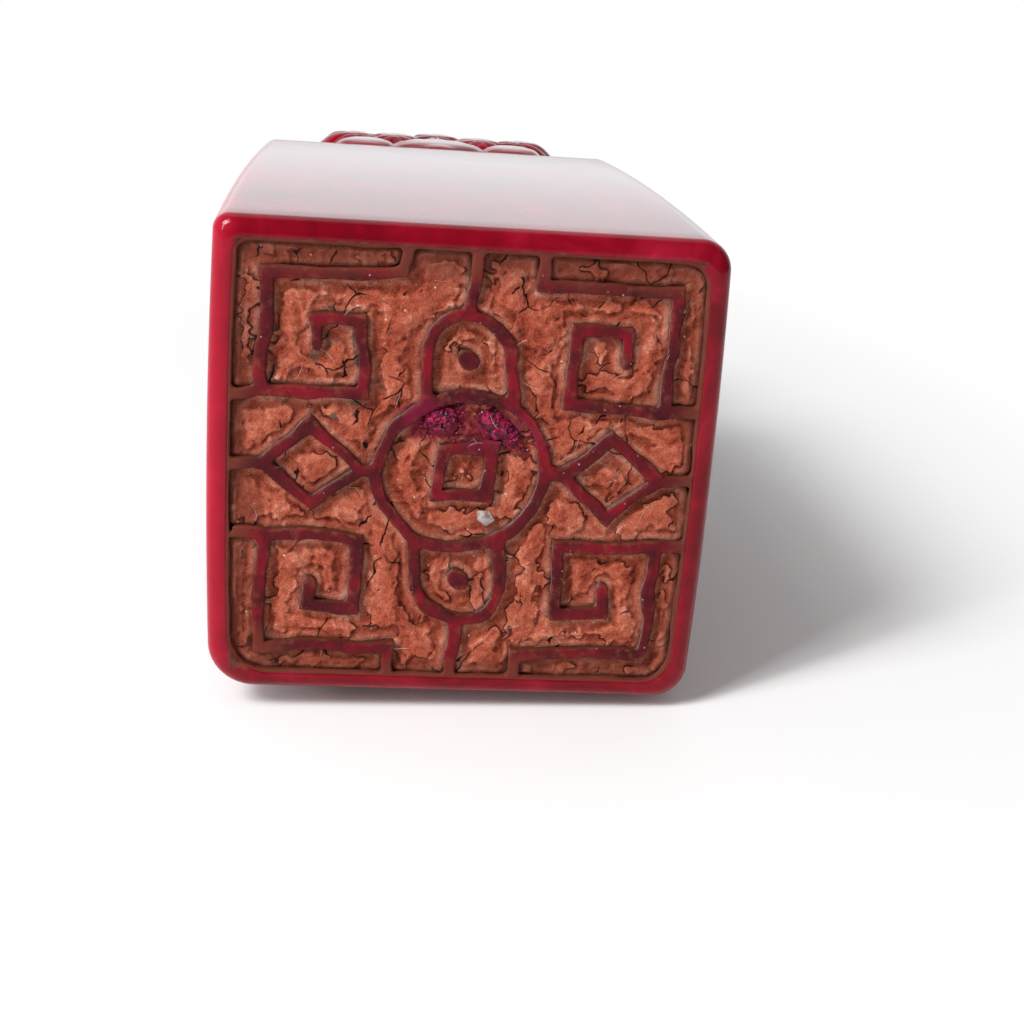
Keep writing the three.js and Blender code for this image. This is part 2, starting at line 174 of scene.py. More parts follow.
def smoothStep(values, low, high):
    share = np.clip((values - low) / (high - low), 0, 1)
    return share * share * (3 - 2 * share)


def setAttribute(piece, name, values):
    attribute = piece.data.attributes.get(name) or piece.data.attributes.new(name, "FLOAT", "POINT")
    attribute.data.foreach_set("value", values.astype(np.float32))


def setWearAndShade(piece, strength):
    # 0 in hollows, 1 on edges and humps, 0.5 on the flat: where paste smears on the relief's edges, and, on the dried
    # paste, where painted shade lies in hollows and painted light on humps
    mesh = piece.data
    ends = np.empty(len(mesh.edges) * 2, np.int32)
    mesh.edges.foreach_get("vertices", ends)
    a, b = ends.reshape(-1, 2).T
    places, normals = skinOf(piece)
    count = len(places)
    meeting = np.maximum(np.bincount(a, minlength=count) + np.bincount(b, minlength=count), 1)
    across = places[b] - places[a]
    lean = np.bincount(a, -(across * normals[a]).sum(1), count) + np.bincount(b, (across * normals[b]).sum(1), count)
    proud = lean / meeting
    for _ in range(3):      # evened out over three edges' length
        proud = (np.bincount(a, proud[b], count) + np.bincount(b, proud[a], count)) / meeting
    setAttribute(piece, "wear", np.clip(0.5 + strength * proud, 0, 1))


def addNode(tree, kind, links=None, values=None, stops=None, **settings):
    # one shader node. links maps a socket to the output that feeds it, or to a node whose first live output does.
    # values maps a socket to a constant, stops are a colour ramp's, and settings are properties or sockets by name
    node = tree.nodes.new("ShaderNode" + kind)
    for name, value in settings.items():
        if hasattr(node, name):
            setattr(node, name, value)
        else:
            node.inputs[name.replace("_", " ")].default_value = value
    for socket, value in (values or {}).items():
        node.inputs[socket].default_value = value
    for i, (position, colour) in enumerate(stops or ()):
        elements = node.color_ramp.elements
        element = elements[i] if i < len(elements) else elements.new(position)
        element.position = position
        element.color = linear(colour)
    for socket, source in (links or {}).items():
        if isinstance(source, bpy.types.Node):
            source = next(output for output in source.outputs if output.enabled)
        tree.links.new(source, node.inputs[socket])
    return node


def newMaterial(name):
    # an empty material, its node tree, and the place on the piece that its patterns read, in metres
    material = bpy.data.materials.new(name)
    material.use_nodes = True
    tree = material.node_tree
    tree.nodes.clear()
    return material, tree, addNode(tree, "TexCoord").outputs["Object"]


# camera, as the photograph was taken

photoCamera = {
    "place": (-8.79, faceY - 115.95, 55.5),   # mm
    "looksAt": (3.93, faceY, 15.66),          # mm
    "roll": -4.23,                            # degrees, the camera's head leans to its left
    "lens": 56.33,                            # mm
    "sensor": 36,
    "clip": (0.005, 20),                      # metres
}


def makeCamera():
    data = bpy.data.cameras.new("camera")
    camera = bpy.data.objects.new("camera", data)
    bpy.context.scene.collection.objects.link(camera)
    place = Vector(photoCamera["place"]) * mm
    target = Vector(photoCamera["looksAt"]) * mm
    level = (target - place).to_track_quat("-Z", "Y").to_matrix()
    lean = Matrix.Rotation(math.radians(-photoCamera["roll"]), 3, "Z")
    camera.matrix_world = Matrix.Translation(place) @ (level @ lean).to_4x4()
    data.sensor_width = photoCamera["sensor"]
    data.lens = photoCamera["lens"]
    data.clip_start, data.clip_end = photoCamera["clip"]
    bpy.context.scene.camera = camera
    print("camera set")


makeCamera()


# cherry resin: phenolic resin, cast in a bar, shaped and polished by hand. It is deep red and clouded inside,
# it has a wet gloss, and light glows in its thin edges

resin = {
    "cast": [(0.36, "#6c0716"), (0.52, "#84091c"), (0.68, "#9c162f"), (0.85, "#de314b")],    # from deep to pale
    "cloudSize": 7.0,        # mm across a cloud in the cast
    "wispSize": 2.2,
    "wispShare": 0.22,
    "layer": "#d02040",
    "layerAndLitEdge": (-17.0, -19.6),  # mm across, a paler layer of the cast lies along the left side, which faces the lamp: partly the cast, partly painted light
    "layerAndLitShare": 0.5,
    "gloss": 0.1,
    "handled": 0.02,         # how much duller the handled parts are
    "ior": 1.5,
    "shine": 0.17,
    "glow": 0.45,            # share of the light that scatters inside
    "reach": 2.5,            # mm that red light travels inside
    "scatter": (1.0, 0.1, 0.12),      # shares of that reach for red, green and blue light
    "grime": [(0.4, "#4a2420"), (0.62, "#7c3f30")],
    "grimeSize": 0.9,        # mm between the notches in its ragged border
    "grimeRough": 0.7,
    "grimeSides": {"top": 1.0, "left": 0.9, "right": 0.12, "bottom": 0.45},    # where the paste crept out most
}


def makeResin():
    material, tree, place = newMaterial("polished_cherry_resin")
    clouds = addNode(tree, "TexNoise", {"Vector": place}, Scale=1 / (resin["cloudSize"] * mm), Detail=5.0,
                     Roughness=0.55, Distortion=1.0)
    wisps = addNode(tree, "TexNoise", {"Vector": place}, Scale=1 / (resin["wispSize"] * mm), Detail=3.0,
                    Distortion=1.2)
    mingled = addNode(tree, "Mix", {2: clouds, 3: wisps}, {0: resin["wispShare"]})
    across = addNode(tree, "SeparateXYZ", {0: place}).outputs["X"]
    # paler towards the left side: partly a layer of the cast, partly painted light from the lamp on the left
    layer = addNode(tree, "MapRange", {"Value": across}, From_Min=resin["layerAndLitEdge"][0] * mm,
                    From_Max=resin["layerAndLitEdge"][1] * mm, To_Max=resin["layerAndLitShare"])
    cast = addNode(tree, "ValToRGB", {"Fac": mingled}, stops=resin["cast"])
    colour = addNode(tree, "Mix", {0: layer, 6: cast}, {7: linear(resin["layer"])}, data_type="RGBA")
    # years of paste have crept out of the recess over the flat of the rim, with a ragged border
    grime = addNode(tree, "Attribute", attribute_name="grime").outputs["Fac"]
    ragged = addNode(tree, "TexNoise", {"Vector": place}, Scale=1 / (resin["grimeSize"] * mm), Detail=4.0,
                     Roughness=0.65)
    border = addNode(tree, "Math", {0: grime, 1: ragged}, operation="ADD")
    grimy = addNode(tree, "MapRange", {"Value": border}, From_Min=0.95, From_Max=1.12, To_Max=0.92)
    soiled = addNode(tree, "ValToRGB", {"Fac": ragged}, stops=resin["grime"])
    seen = addNode(tree, "Mix", {0: grimy, 6: colour, 7: soiled}, data_type="RGBA")
    handled = addNode(tree, "MapRange", {"Value": clouds}, From_Min=0.35, From_Max=0.7, To_Min=resin["gloss"],
                      To_Max=resin["gloss"] + resin["handled"])
    dull = addNode(tree, "Mix", {0: grimy, 2: handled}, {3: resin["grimeRough"]})
    shader = addNode(tree, "BsdfPrincipled", {"Base Color": seen, "Roughness": dull}, IOR=resin["ior"],
                     Specular_IOR_Level=resin["shine"], Subsurface_Weight=resin["glow"],
                     Subsurface_Scale=resin["reach"] * mm, Subsurface_Radius=resin["scatter"])
    addNode(tree, "OutputMaterial", {"Surface": shader})
    return material


# the block: one bar of resin with a sunk printing field

block = {
    "width": 38.0,            # mm, as the rest
    "height": 37.2,
    "length": 60.0,
    "farWidth": 37.1,         # at the knob's end
    "farHeight": 36.2,
    "widthSwell": 0.61,       # how much fuller it is half-way along
    "heightSwell": 0.42,
    "sideBow": 0.38,          # how far the left and right sides bow out
    "bowSteps": 15,
    "corners": {"bottomRight": 3.7, "topRight": 3.4, "topLeft": 2.4, "bottomLeft": 4.5},
    "cornerSteps": 12,
    "faceRounding": 1.3,
    "shoulderRounding": 2.7,
    "rings": 24,              # from the face to the shoulder
    "rimLand": 0.5,           # the flat of the rim
    "rimWear": 0.18,          # rounding of the rim's inner edge
    "filmRoom": 0.2,          # the recess is drawn this much larger than it is, and the dirty film lines it
    "recessDepth": 2.0,
    "bedSink": 0.45,          # the floor is drawn this much deeper, and the relief's own bed fills it
}


def makeOutline(width, height, inset):
    # a rounded rectangle drawn as a single face, as seen from the printing end
    bpy.ops.mesh.primitive_plane_add(size=1, rotation=(math.pi / 2, 0, 0), location=(0, 0, height / 2))
    piece = bpy.context.object
    piece.scale = (width - 2 * inset, height - 2 * inset, 1)
    bpy.ops.object.transform_apply()
    for corner, radius in block["corners"].items():
        right = 1 if "Right" in corner else -1
        up = 1 if "top" in corner else -1
        bpy.ops.object.mode_set(mode="EDIT")
        bpy.ops.mesh.select_mode(type="VERT")
        mesh = bmesh.from_edit_mesh(piece.data)
        middle = Vector((0, 0, height / 2))
        target = max(mesh.verts, key=lambda v: (v.co.x - middle.x) * right + (v.co.z - middle.z) * up)
        for vert in mesh.verts:
            vert.select = vert == target
        mesh.select_flush(True)
        bmesh.update_edit_mesh(piece.data)
        reach = max(radius - inset, 0.3)
        bpy.ops.mesh.bevel(offset=reach, offset_type="OFFSET", segments=block["cornerSteps"], affect="VERTICES")
        bpy.ops.object.mode_set(mode="OBJECT")
    return piece


def crownSides(piece, width, height):
    # the left and right sides are cut into short lengths and bowed out
    bpy.ops.object.mode_set(mode="EDIT")
    mesh = bmesh.from_edit_mesh(piece.data)
    mesh.select_mode = {"EDGE"}
    for edge in mesh.edges:
        edge.select = edge.calc_length() > width / 2
    bmesh.update_edit_mesh(piece.data)
    bpy.ops.mesh.subdivide(number_cuts=block["bowSteps"])
    mesh = bmesh.from_edit_mesh(piece.data)
    for vert in mesh.verts:
        up = 2 * vert.co.z / height - 1
        vert.co.x *= 1 + block["sideBow"] * (1 - up * up) / (width / 2)
    bmesh.update_edit_mesh(piece.data)
    bpy.ops.object.mode_set(mode="OBJECT")


def sizeAlong(share):
    # its width and height at a share of its length
    fuller = 4 * share * (1 - share)
    width = block["width"] + (block["farWidth"] - block["width"]) * share + block["widthSwell"] * fuller
    height = block["height"] + (block["farHeight"] - block["height"]) * share + block["heightSwell"] * fuller
    return width, height


def extrudeRing(depthNow, depthNext, sizeNow, sizeNext):
    # pulls the open ring on to the next depth, and sizes it: a size is (width, lowest, highest)
    bpy.ops.mesh.extrude_region_move(TRANSFORM_OT_translate={"value": (0, depthNext - depthNow, 0)})
    across = sizeNext[0] / sizeNow[0]
    up = (sizeNext[2] - sizeNext[1]) / (sizeNow[2] - sizeNow[1])
    bpy.ops.transform.resize(value=(across, 1, up), center_override=(0, faceY + depthNext, sizeNow[1]))
    bpy.ops.transform.translate(value=(0, 0, sizeNext[1] - sizeNow[1]))


def quarterTurn(steps):
    # a rounded edge with a radius of 1, from one flat to the next
    angles = [i / steps * math.pi / 2 for i in range(steps + 1)]
    return [(1 - math.cos(angle), 1 - math.sin(angle)) for angle in angles]


def ringSize(depth, inset):
    width, height = sizeAlong(max(depth, 0) / block["length"])
    return width - 2 * inset, inset, height - inset


def makeBlock():
    rounding = block["faceRounding"]
    shoulder = block["shoulderRounding"]
    length = block["length"]
    piece = makeOutline(block["width"], block["height"], rounding)
    crownSides(piece, block["width"] - 2 * rounding, block["height"])
    piece.name = "seal_block_body"
    piece.location.y = faceY
    bpy.ops.object.transform_apply()

    # the rings of the outside and of the recess, each as (depth, inset)
    straight = length - shoulder - rounding
    outside = [(rounding * a, rounding * b) for a, b in quarterTurn(8)]
    outside += [(rounding + straight * i / block["rings"], 0) for i in range(1, block["rings"])]
    outside += [(length - shoulder * b, shoulder * a) for a, b in quarterTurn(8)]
    wear = block["rimWear"]
    floor = block["recessDepth"] + block["bedSink"]
    land = rounding + block["rimLand"] - block["filmRoom"]
    inside = [(0, rounding), (0, land - wear)] + [(wear * a, land - wear * b) for a, b in quarterTurn(4)[1:]]
    inside += [(floor * share, land) for share in (0.35, 0.7, 1)]

    # outside wall, from the face to the knob's end
    bpy.ops.object.mode_set(mode="EDIT")
    bpy.ops.mesh.select_all(action="SELECT")
    bpy.ops.mesh.duplicate()
    for now, after in zip(outside, outside[1:]):
        extrudeRing(now[0], after[0], ringSize(*now), ringSize(*after))
    # the face left behind becomes the rim and the sunk field
    bpy.ops.mesh.select_all(action="DESELECT")
    mesh = bmesh.from_edit_mesh(piece.data)
    mesh.faces.ensure_lookup_table()
    for face in mesh.faces:
        if len(face.verts) > 20 and abs(face.calc_center_median().y - faceY) < 0.01:
            face.select = True
    bmesh.update_edit_mesh(piece.data)
    for now, after in zip(inside, inside[1:]):
        extrudeRing(now[0], after[0], ringSize(0, now[1]), ringSize(0, after[1]))
    bpy.ops.mesh.select_all(action="SELECT")
    bpy.ops.mesh.remove_doubles(threshold=0.001)
    bpy.ops.mesh.normals_make_consistent(inside=False)
    bpy.ops.object.mode_set(mode="OBJECT")
    return piece


fieldHalf = block["width"] / 2 - block["faceRounding"] - block["rimLand"]     # mm, the recess seen from the face
fieldLow = block["faceRounding"] + block["rimLand"]
fieldHigh = block["height"] - block["faceRounding"] - block["rimLand"]


def roomToSides(places):
    # mm from a point of the face to the walls of the recess, less than 0 out on the rim
    x, z = places[:, 0], places[:, 2]
    return {"top": fieldHigh - z, "left": x + fieldHalf, "right": fieldHalf - x, "bottom": z - fieldLow}


def roomToRim(places):
    return np.minimum.reduce(list(roomToSides(places).values()))


def grimeOver(places):
    # 1 where the paste crept out over the rim
    share = np.zeros(len(places))
    nearest = roomToRim(places)
    for side, room in roomToSides(places).items():
        most = resin["grimeSides"][side]
        share = np.where(room <= nearest + 0.001, most * smoothStep(room, -block["rimLand"] - 0.25, 0.1), share)
    return share * (places[:, 1] < faceY + block["recessDepth"] + 1)


cherry = makeResin()
sealBody = makeBlock()
setAttribute(sealBody, "grime", grimeOver(skinOf(sealBody)[0]))
finishPiece(sealBody, cherry, ["seal_block"], 30)
print("block made")


# the printing relief: hand-cut lines on their bed, stained by years of paste, their sides dusty and paler with
# painted light where they face the lamp, their edges worn

crustPlaces = [(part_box(name)[0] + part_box(name)[1]) / (2 * mm) for name in ("ink_crust_left", "ink_crust_right")]

relief = {
    "bed": 0.4,             # mm of resin kept under the floor of the recess
    "intoRim": 0.7,         # mm that the piece goes on into the rim
    "lowered": 0.05,        # mm that it lies below the rim's face
    "voxel": 0.13,
    "smoothing": 2,
    "stray": 0.42,          # mm that a hand-cut line wanders
    "straySize": 4.5,       # mm from bend to bend
    "pared": 0.04,          # mm taken off each side of a line
    "uneven": 0.16,         # mm, thick and thin along a line
    "unevenSize": 3.4,
    "cutMarks": 0.07,       # mm, unevenness of the knife's cuts
    "markSize": 1.3,
    "chips": 0.05,          # mm, finer and shallower than the knife's cuts
    "chipSize": 0.4,
    "mostTriangles": 190000,
    "stained": [(0.34, "#430f17"), (0.5, "#5c121a"), (0.66, "#7e0f1f")],    # from soaked to rubbed
    "patchSize": 3.2,       # mm
    "grainSize": 0.28,
    "grainDepth": 0.08,
    "smearSize": 0.8,
    "speckSpacing": 0.55,
    "dirtFrom": (0.5, 1.3),      # mm under the face, where the dirt sets in and where it is full
    "shine": 0.12,
    "smear": "#7d4030",
    "dust": "#85706a",
    "speck": "#b08a84",
    "dirt": "#5a3022",
}

filmAndShadeWidth = {"top": 2.1, "left": 1.3, "right": 0.9, "bottom": 1.5, "fade": 1.3}    # mm, the brown film of paste along the rim, darkest under the top rim as painted shade


def filmAndShadeOver(places):
    # 1 beside the rim, 0 out in the field, with a wandering border: brown paste film, partly painted shade under the
    # rim
    wander = 0.7 * waves(places, 3.1, 5.0) + 0.3 * waves(places, 1.1, 9.0)
    share = np.zeros(len(places))
    rooms = roomToSides(places)
    for side, room in rooms.items():
        wide, fade = filmAndShadeWidth[side], filmAndShadeWidth["fade"]
        share = np.maximum(share, 1 - smoothStep(room + wander, wide - fade, wide + fade / 2))
    corner = np.hypot(rooms["left"], rooms["bottom"])
    return np.maximum(share, 0.8 * (1 - smoothStep(corner + 2 * wander, 2.5, 6)))


def stainOver(places):
    # 1 on and beside the crimson crusts, with a smear to the left and a tail to the right
    share = np.zeros(len(places))
    wander = 0.8 * waves(places, 1.6, 2.0) + 0.5 * waves(places, 0.5, 3.0)
    for place in crustPlaces:
        near = np.hypot((places[:, 0] - place.x) * 0.55, places[:, 2] - place.z)
        share = np.maximum(share, 1 - smoothStep(near + wander, 0.9, 2.4))
    return share


def handCut(places):
    # the lines stray and swell as a knife leaves them, and the paste between them follows
    free = smoothStep(roomToRim(places), 0.1, 1.8)
    flat = places * np.array([1, 0, 1])
    for axis, shift in ((0, 13.0), (2, 17.0)):
        stray = relief["stray"] * waves(flat, relief["straySize"], shift)
        stray = stray + 0.4 * relief["stray"] * waves(flat, relief["straySize"] / 2.6, shift + 3)
        places[:, axis] += stray * free
    return places


def makeRelief():
    piece = copyOfNode("seal_block", "printing_relief")
    into = relief["intoRim"]
    cutAway(piece, (0, faceY + block["recessDepth"] + relief["bed"], 0), (0, 1, 0))
    cutAway(piece, (fieldHalf + into, 0, 0), (1, 0, 0))
    cutAway(piece, (-fieldHalf - into, 0, 0), (-1, 0, 0))
    cutAway(piece, (0, 0, fieldHigh + into), (0, 0, 1))
    cutAway(piece, (0, 0, fieldLow - into), (0, 0, -1))
    remesh(piece, relief["voxel"], relief["smoothing"])
    places, normals = skinOf(piece)
    rough = relief["cutMarks"] * waves(places, relief["markSize"])
    rough = rough + relief["chips"] * waves(places, relief["chipSize"], 7.0)
    upright = 1 - np.abs(normals[:, 1])
    inField = places[:, 1] < faceY + block["recessDepth"] + relief["bed"] / 2
    swell = relief["uneven"] * waves(places * np.array([1, 0, 1]), relief["unevenSize"], 29.0)
    rough = rough + upright * (swell - relief["pared"])
    places = places + normals * (rough * (0.25 + 0.75 * upright) * inField)[:, None]
    places = handCut(places)
    places[:, 1] += relief["lowered"]
    setSkin(piece, places)
    thinTo(piece, relief["mostTriangles"])
    places, normals = skinOf(piece)
    setWearAndShade(piece, 18)
    setAttribute(piece, "filmAndShade", filmAndShadeOver(places))
    setAttribute(piece, "stain", stainOver(places))
    setAttribute(piece, "upright", 1 - np.abs(normals[:, 1]))
    # walls that face left, towards the lamp, turn pale: dust and painted light
    setAttribute(piece, "dustedLitSide", smoothStep(-normals[:, 0], 0.2, 0.8))
    print("relief cut,", len(piece.data.polygons), "faces")
    return piece


def makeStainedResin():
    material, tree, place = newMaterial("paste_stained_cherry_resin")
    wear, filmAndShade, crimson, upright, paintedSideLight = [addNode(tree, "Attribute", attribute_name=name).outputs["Fac"]
                                         for name in ("wear", "filmAndShade", "stain", "upright", "dustedLitSide")]
    depth = addNode(tree, "SeparateXYZ", {0: place}).outputs["Y"]
    patches = addNode(tree, "TexNoise", {"Vector": place}, Scale=1 / (relief["patchSize"] * mm), Detail=4.0,
                      Distortion=0.8)
    grain = addNode(tree, "TexNoise", {"Vector": place}, Scale=1 / (relief["grainSize"] * mm), Detail=4.0,
                    Roughness=0.7)
    stained = addNode(tree, "ValToRGB", {"Fac": patches}, stops=relief["stained"])
    # dust has settled on the tops, their edges are smeared with paste, and specks of grit lie on them
    settled = addNode(tree, "MapRange", {"Value": grain}, From_Min=0.55, From_Max=0.75, To_Max=0.14)
    ragged = addNode(tree, "TexNoise", {"Vector": place}, Scale=1 / (relief["smearSize"] * mm), Detail=5.0,
                     Roughness=0.7)
    edged = addNode(tree, "Math", {0: wear, 1: ragged}, operation="ADD")
    smeared = addNode(tree, "MapRange", {"Value": edged}, From_Min=1.22, From_Max=1.42, To_Max=0.75)
    cells = addNode(tree, "TexVoronoi", {"Vector": place}, Scale=1 / (relief["speckSpacing"] * mm))
    picked = addNode(tree, "SeparateColor", {0: cells.outputs["Color"]}).outputs["Red"]
    size = addNode(tree, "MapRange", {"Value": picked}, From_Min=0.72, From_Max=1.0, To_Max=0.14)
    specks = addNode(tree, "Math", {0: size, 1: cells}, operation="GREATER_THAN")
    # the walls are dirty, and pale with dust where they face left, towards the lamp: dust and painted light
    grainy = addNode(tree, "MapRange", {"Value": grain}, From_Min=0.36, From_Max=0.58)
    dusty = addNode(tree, "Math", {0: grainy, 1: paintedSideLight}, operation="MULTIPLY")
    wall = addNode(tree, "Mix", {0: dusty}, {6: linear(relief["dirt"]), 7: linear(relief["dust"])}, data_type="RGBA")
    wallShare = addNode(tree, "MapRange", {"Value": upright}, From_Min=0.45, From_Max=0.8)
    deep = addNode(tree, "MapRange", {"Value": depth}, From_Min=(faceY + relief["dirtFrom"][0]) * mm,
                   From_Max=(faceY + relief["dirtFrom"][1]) * mm)
    # brown film beside the rim, partly painted shade
    filmAndShadeShare = addNode(tree, "MapRange", {"Value": filmAndShade}, To_Max=0.85)
    inky = addNode(tree, "Math", {0: crimson, 1: ragged}, operation="ADD")
    dyed = addNode(tree, "MapRange", {"Value": inky}, From_Min=0.8, From_Max=1.5, To_Max=0.6)
    layers = stained
    for share, tint in ((settled, "dust"), (smeared, "smear"), (specks, "speck")):
        layers = addNode(tree, "Mix", {0: share, 6: layers}, {7: linear(relief[tint])}, data_type="RGBA")
    layers = addNode(tree, "Mix", {0: wallShare, 6: layers, 7: wall}, data_type="RGBA")
    for share, tint in ((deep, relief["dirt"]), (filmAndShadeShare, paste["filmAndShade"]), (dyed, crust["smear"])):
        layers = addNode(tree, "Mix", {0: share, 6: layers}, {7: linear(tint)}, data_type="RGBA")
    bump = addNode(tree, "Bump", {"Height": grain}, Strength=0.8, Distance=relief["grainDepth"] * mm)
    dull = addNode(tree, "MapRange", {"Value": grain}, To_Min=0.42, To_Max=0.72)
    shader = addNode(tree, "BsdfPrincipled", {"Base Color": layers, "Roughness": dull, "Normal": bump},
                     IOR=resin["ior"], Specular_IOR_Level=relief["shine"])
    addNode(tree, "OutputMaterial", {"Surface": shader})
    return material


# seal paste: cinnabar paste, kneaded with oil and fibre and dried hard. It is matte and grainy, streaked where it
# was dabbed on, cracked where it shrank, with grit and a few mould spots in it

paste = {
    "cakes": 14,
    "voxel": 0.1,
    "smoothing": 4,
    "dome": 0.24,            # mm from the edge of a cake to its crown
    "domeReach": 1.7,        # mm from the edge to where the cake is flat
    "raised": 0.06,
    "lowest": 0.02,          # mm under the face, so that no paste stands out past the rim
    "creep": 0.12,           # mm that the paste has crept up the side of a line
    "creepReach": 0.4,
    "scarp": 0.17,           # mm, the step where the upper layer of paste has broken off
    "scarpAt": 0.5,          # mm from the edge of the cake to the step
    "heaped": 0.27,          # mm that the dirty film lies higher, beside the rim
    "chunks": [(0.95, 0.13), (0.38, 0.04)],                # (size, height) in mm of the crumbs it dried into
    "grown": 0.48,           # mm that a cake's edge reaches out over its CAD solid, on average
    "grownUneven": [(0.9, 0.14, 21.0), (0.3, 0.06, 31.0)],     # (size, depth) in mm of its bays, and their shift
    "lumps": [(3.0, 0.13), (1.1, 0.12), (0.45, 0.05)],     # (size, height) in mm
    "streak": (0.5, 0.07),
    "stretch": 4.5,          # how much longer than wide a streak is
    "colours": [(0.31, "#6b2014"), (0.44, "#a84c37"), (0.56, "#c4684e"), (0.72, "#e8a18a")],
    "blotchSize": 2.6,       # mm, as the next four
    "warpSize": 1.8,
    "streakSize": 0.36,
    "crumbSize": 0.5,
    "grainSize": 0.14,
    "bumpDepth": 0.34,       # mm that the crumbs, grain and cracks seem deep
    "paintedShade": "#6e2c1b",      # painted shade: the side of a cake in the shadow of a line, and its lower layer
    "dustAndLitFringe": "#97817a",     # dust against a line, on the side the lamp lights: dust and painted light
    # brown paste film beside the rim, dark partly as painted shade
    "filmAndShade": "#6c3326",
    "crackColour": "#2a100c",
    "crackSpacing": 4.6,     # mm between the main cracks
    "crackWidth": 0.016,     # share of the spacing
    "sweep": -0.75,          # radians from upright, the way the paste was dabbed on
    "gashSpacing": 0.8,      # mm across the sweep
    "holdSize": 4,           # mm across a part that held together
    "grit": "#d9cbb4",
    "gritSpacing": 0.7,      # mm
    "mould": "#45423a",
    "mouldAt": (-10.5, faceY, 26),
    "mouldReach": (3, 7.5),  # mm from its middle to where it thins out and ends
    "mouldSize": 1.0,
}


def makeCake(number):
    name = "paste_cake_%02d" % number
    piece = copyOfNode(name, name + "_dried")
    remesh(piece, paste["voxel"], paste["smoothing"])
    places, normals = skinOf(piece)
    up = -normals[:, 1]
    wall = np.nonzero(np.abs(up) < 0.45)[0]     # points that face sideways
    tree = kdtree.KDTree(len(wall))
    for i in wall:
        tree.insert((places[i, 0], 0, places[i, 2]), int(i))
    tree.balance()
    crown = np.nonzero(up > 0.3)[0]
    inwards = np.zeros(len(places))
    towards = normals[:, (0, 2)].copy()
    for i in crown:
        nearest, _, inwards[i] = tree.find((places[i, 0], 0, places[i, 2]))
        towards[i] = (nearest.x - places[i, 0], nearest.z - places[i, 2])
    towards /= np.maximum(np.hypot(towards[:, 0], towards[:, 1]), 0.05)[:, None]
    # the cake's top swells towards its middle, climbs the lines around it, and is broken, lumpy and streaked
    top = np.clip(up, 0, 1)
    swell = paste["dome"] * smoothStep(inwards, 0, paste["domeReach"]) - paste["dome"] / 2 + paste["raised"]
    swell = swell + paste["creep"] * (1 - smoothStep(inwards, 0, paste["creepReach"]))
    broken = inwards - paste["scarpAt"] + 1.2 * waves(places, 1.6, 41.0 + number) + 0.5 * waves(places, 0.5, 43.0)
    layer = smoothStep(broken, -0.08, 0.12)
    swell = swell + paste["scarp"] * (layer - 0.5)
    filmAndShade = filmAndShadeOver(places)
    swell = swell + paste["heaped"] * filmAndShade
    for i, (size, height) in enumerate(paste["lumps"]):
        swell = swell + height * waves(places, size, 11.0 * i + number)
    for size, height in paste["chunks"]:
        swell = swell + height * (0.45 - creases(places, size))
    lean = 0.9 + 0.8 * math.sin(number * 2.4)     # radians, the way this cake was dabbed on
    turned = np.stack([places[:, 0] * math.cos(lean) + places[:, 2] * math.sin(lean), places[:, 1],
                       places[:, 2] * math.cos(lean) - places[:, 0] * math.sin(lean)], 1)
    size, height = paste["streak"]
    swell = swell + height * waves(turned, size, 4.0, (paste["stretch"], 1, 1))
    out = paste["grown"]
    for size, depth, shift in paste["grownUneven"]:
        out = out + depth * waves(places, size, shift)
    sideways = normals * np.array([1, 0, 1])
    places = places + sideways * (out * (1 - top))[:, None]
    places[:, 1] -= swell * top
    places[:, 1] = np.maximum(places[:, 1], faceY + paste["lowest"])
    places = handCut(places)
    setSkin(piece, places)
    setWearAndShade(piece, 22)
    setAttribute(piece, "filmAndShade", filmAndShade)
    setAttribute(piece, "stain", stainOver(places))
    # 1 where the nearest line is close by on the right or below, -1 where it is close by on the left or above: where
    # painted light and painted shade go
    side = np.clip(towards[:, 0] - 0.6 * towards[:, 1], -1, 1)
    setAttribute(piece, "side", side * (1 - smoothStep(inwards, 0.0, np.where(side > 0, 0.25, 0.7))))
    setAttribute(piece, "layer", layer)
    return piece, name


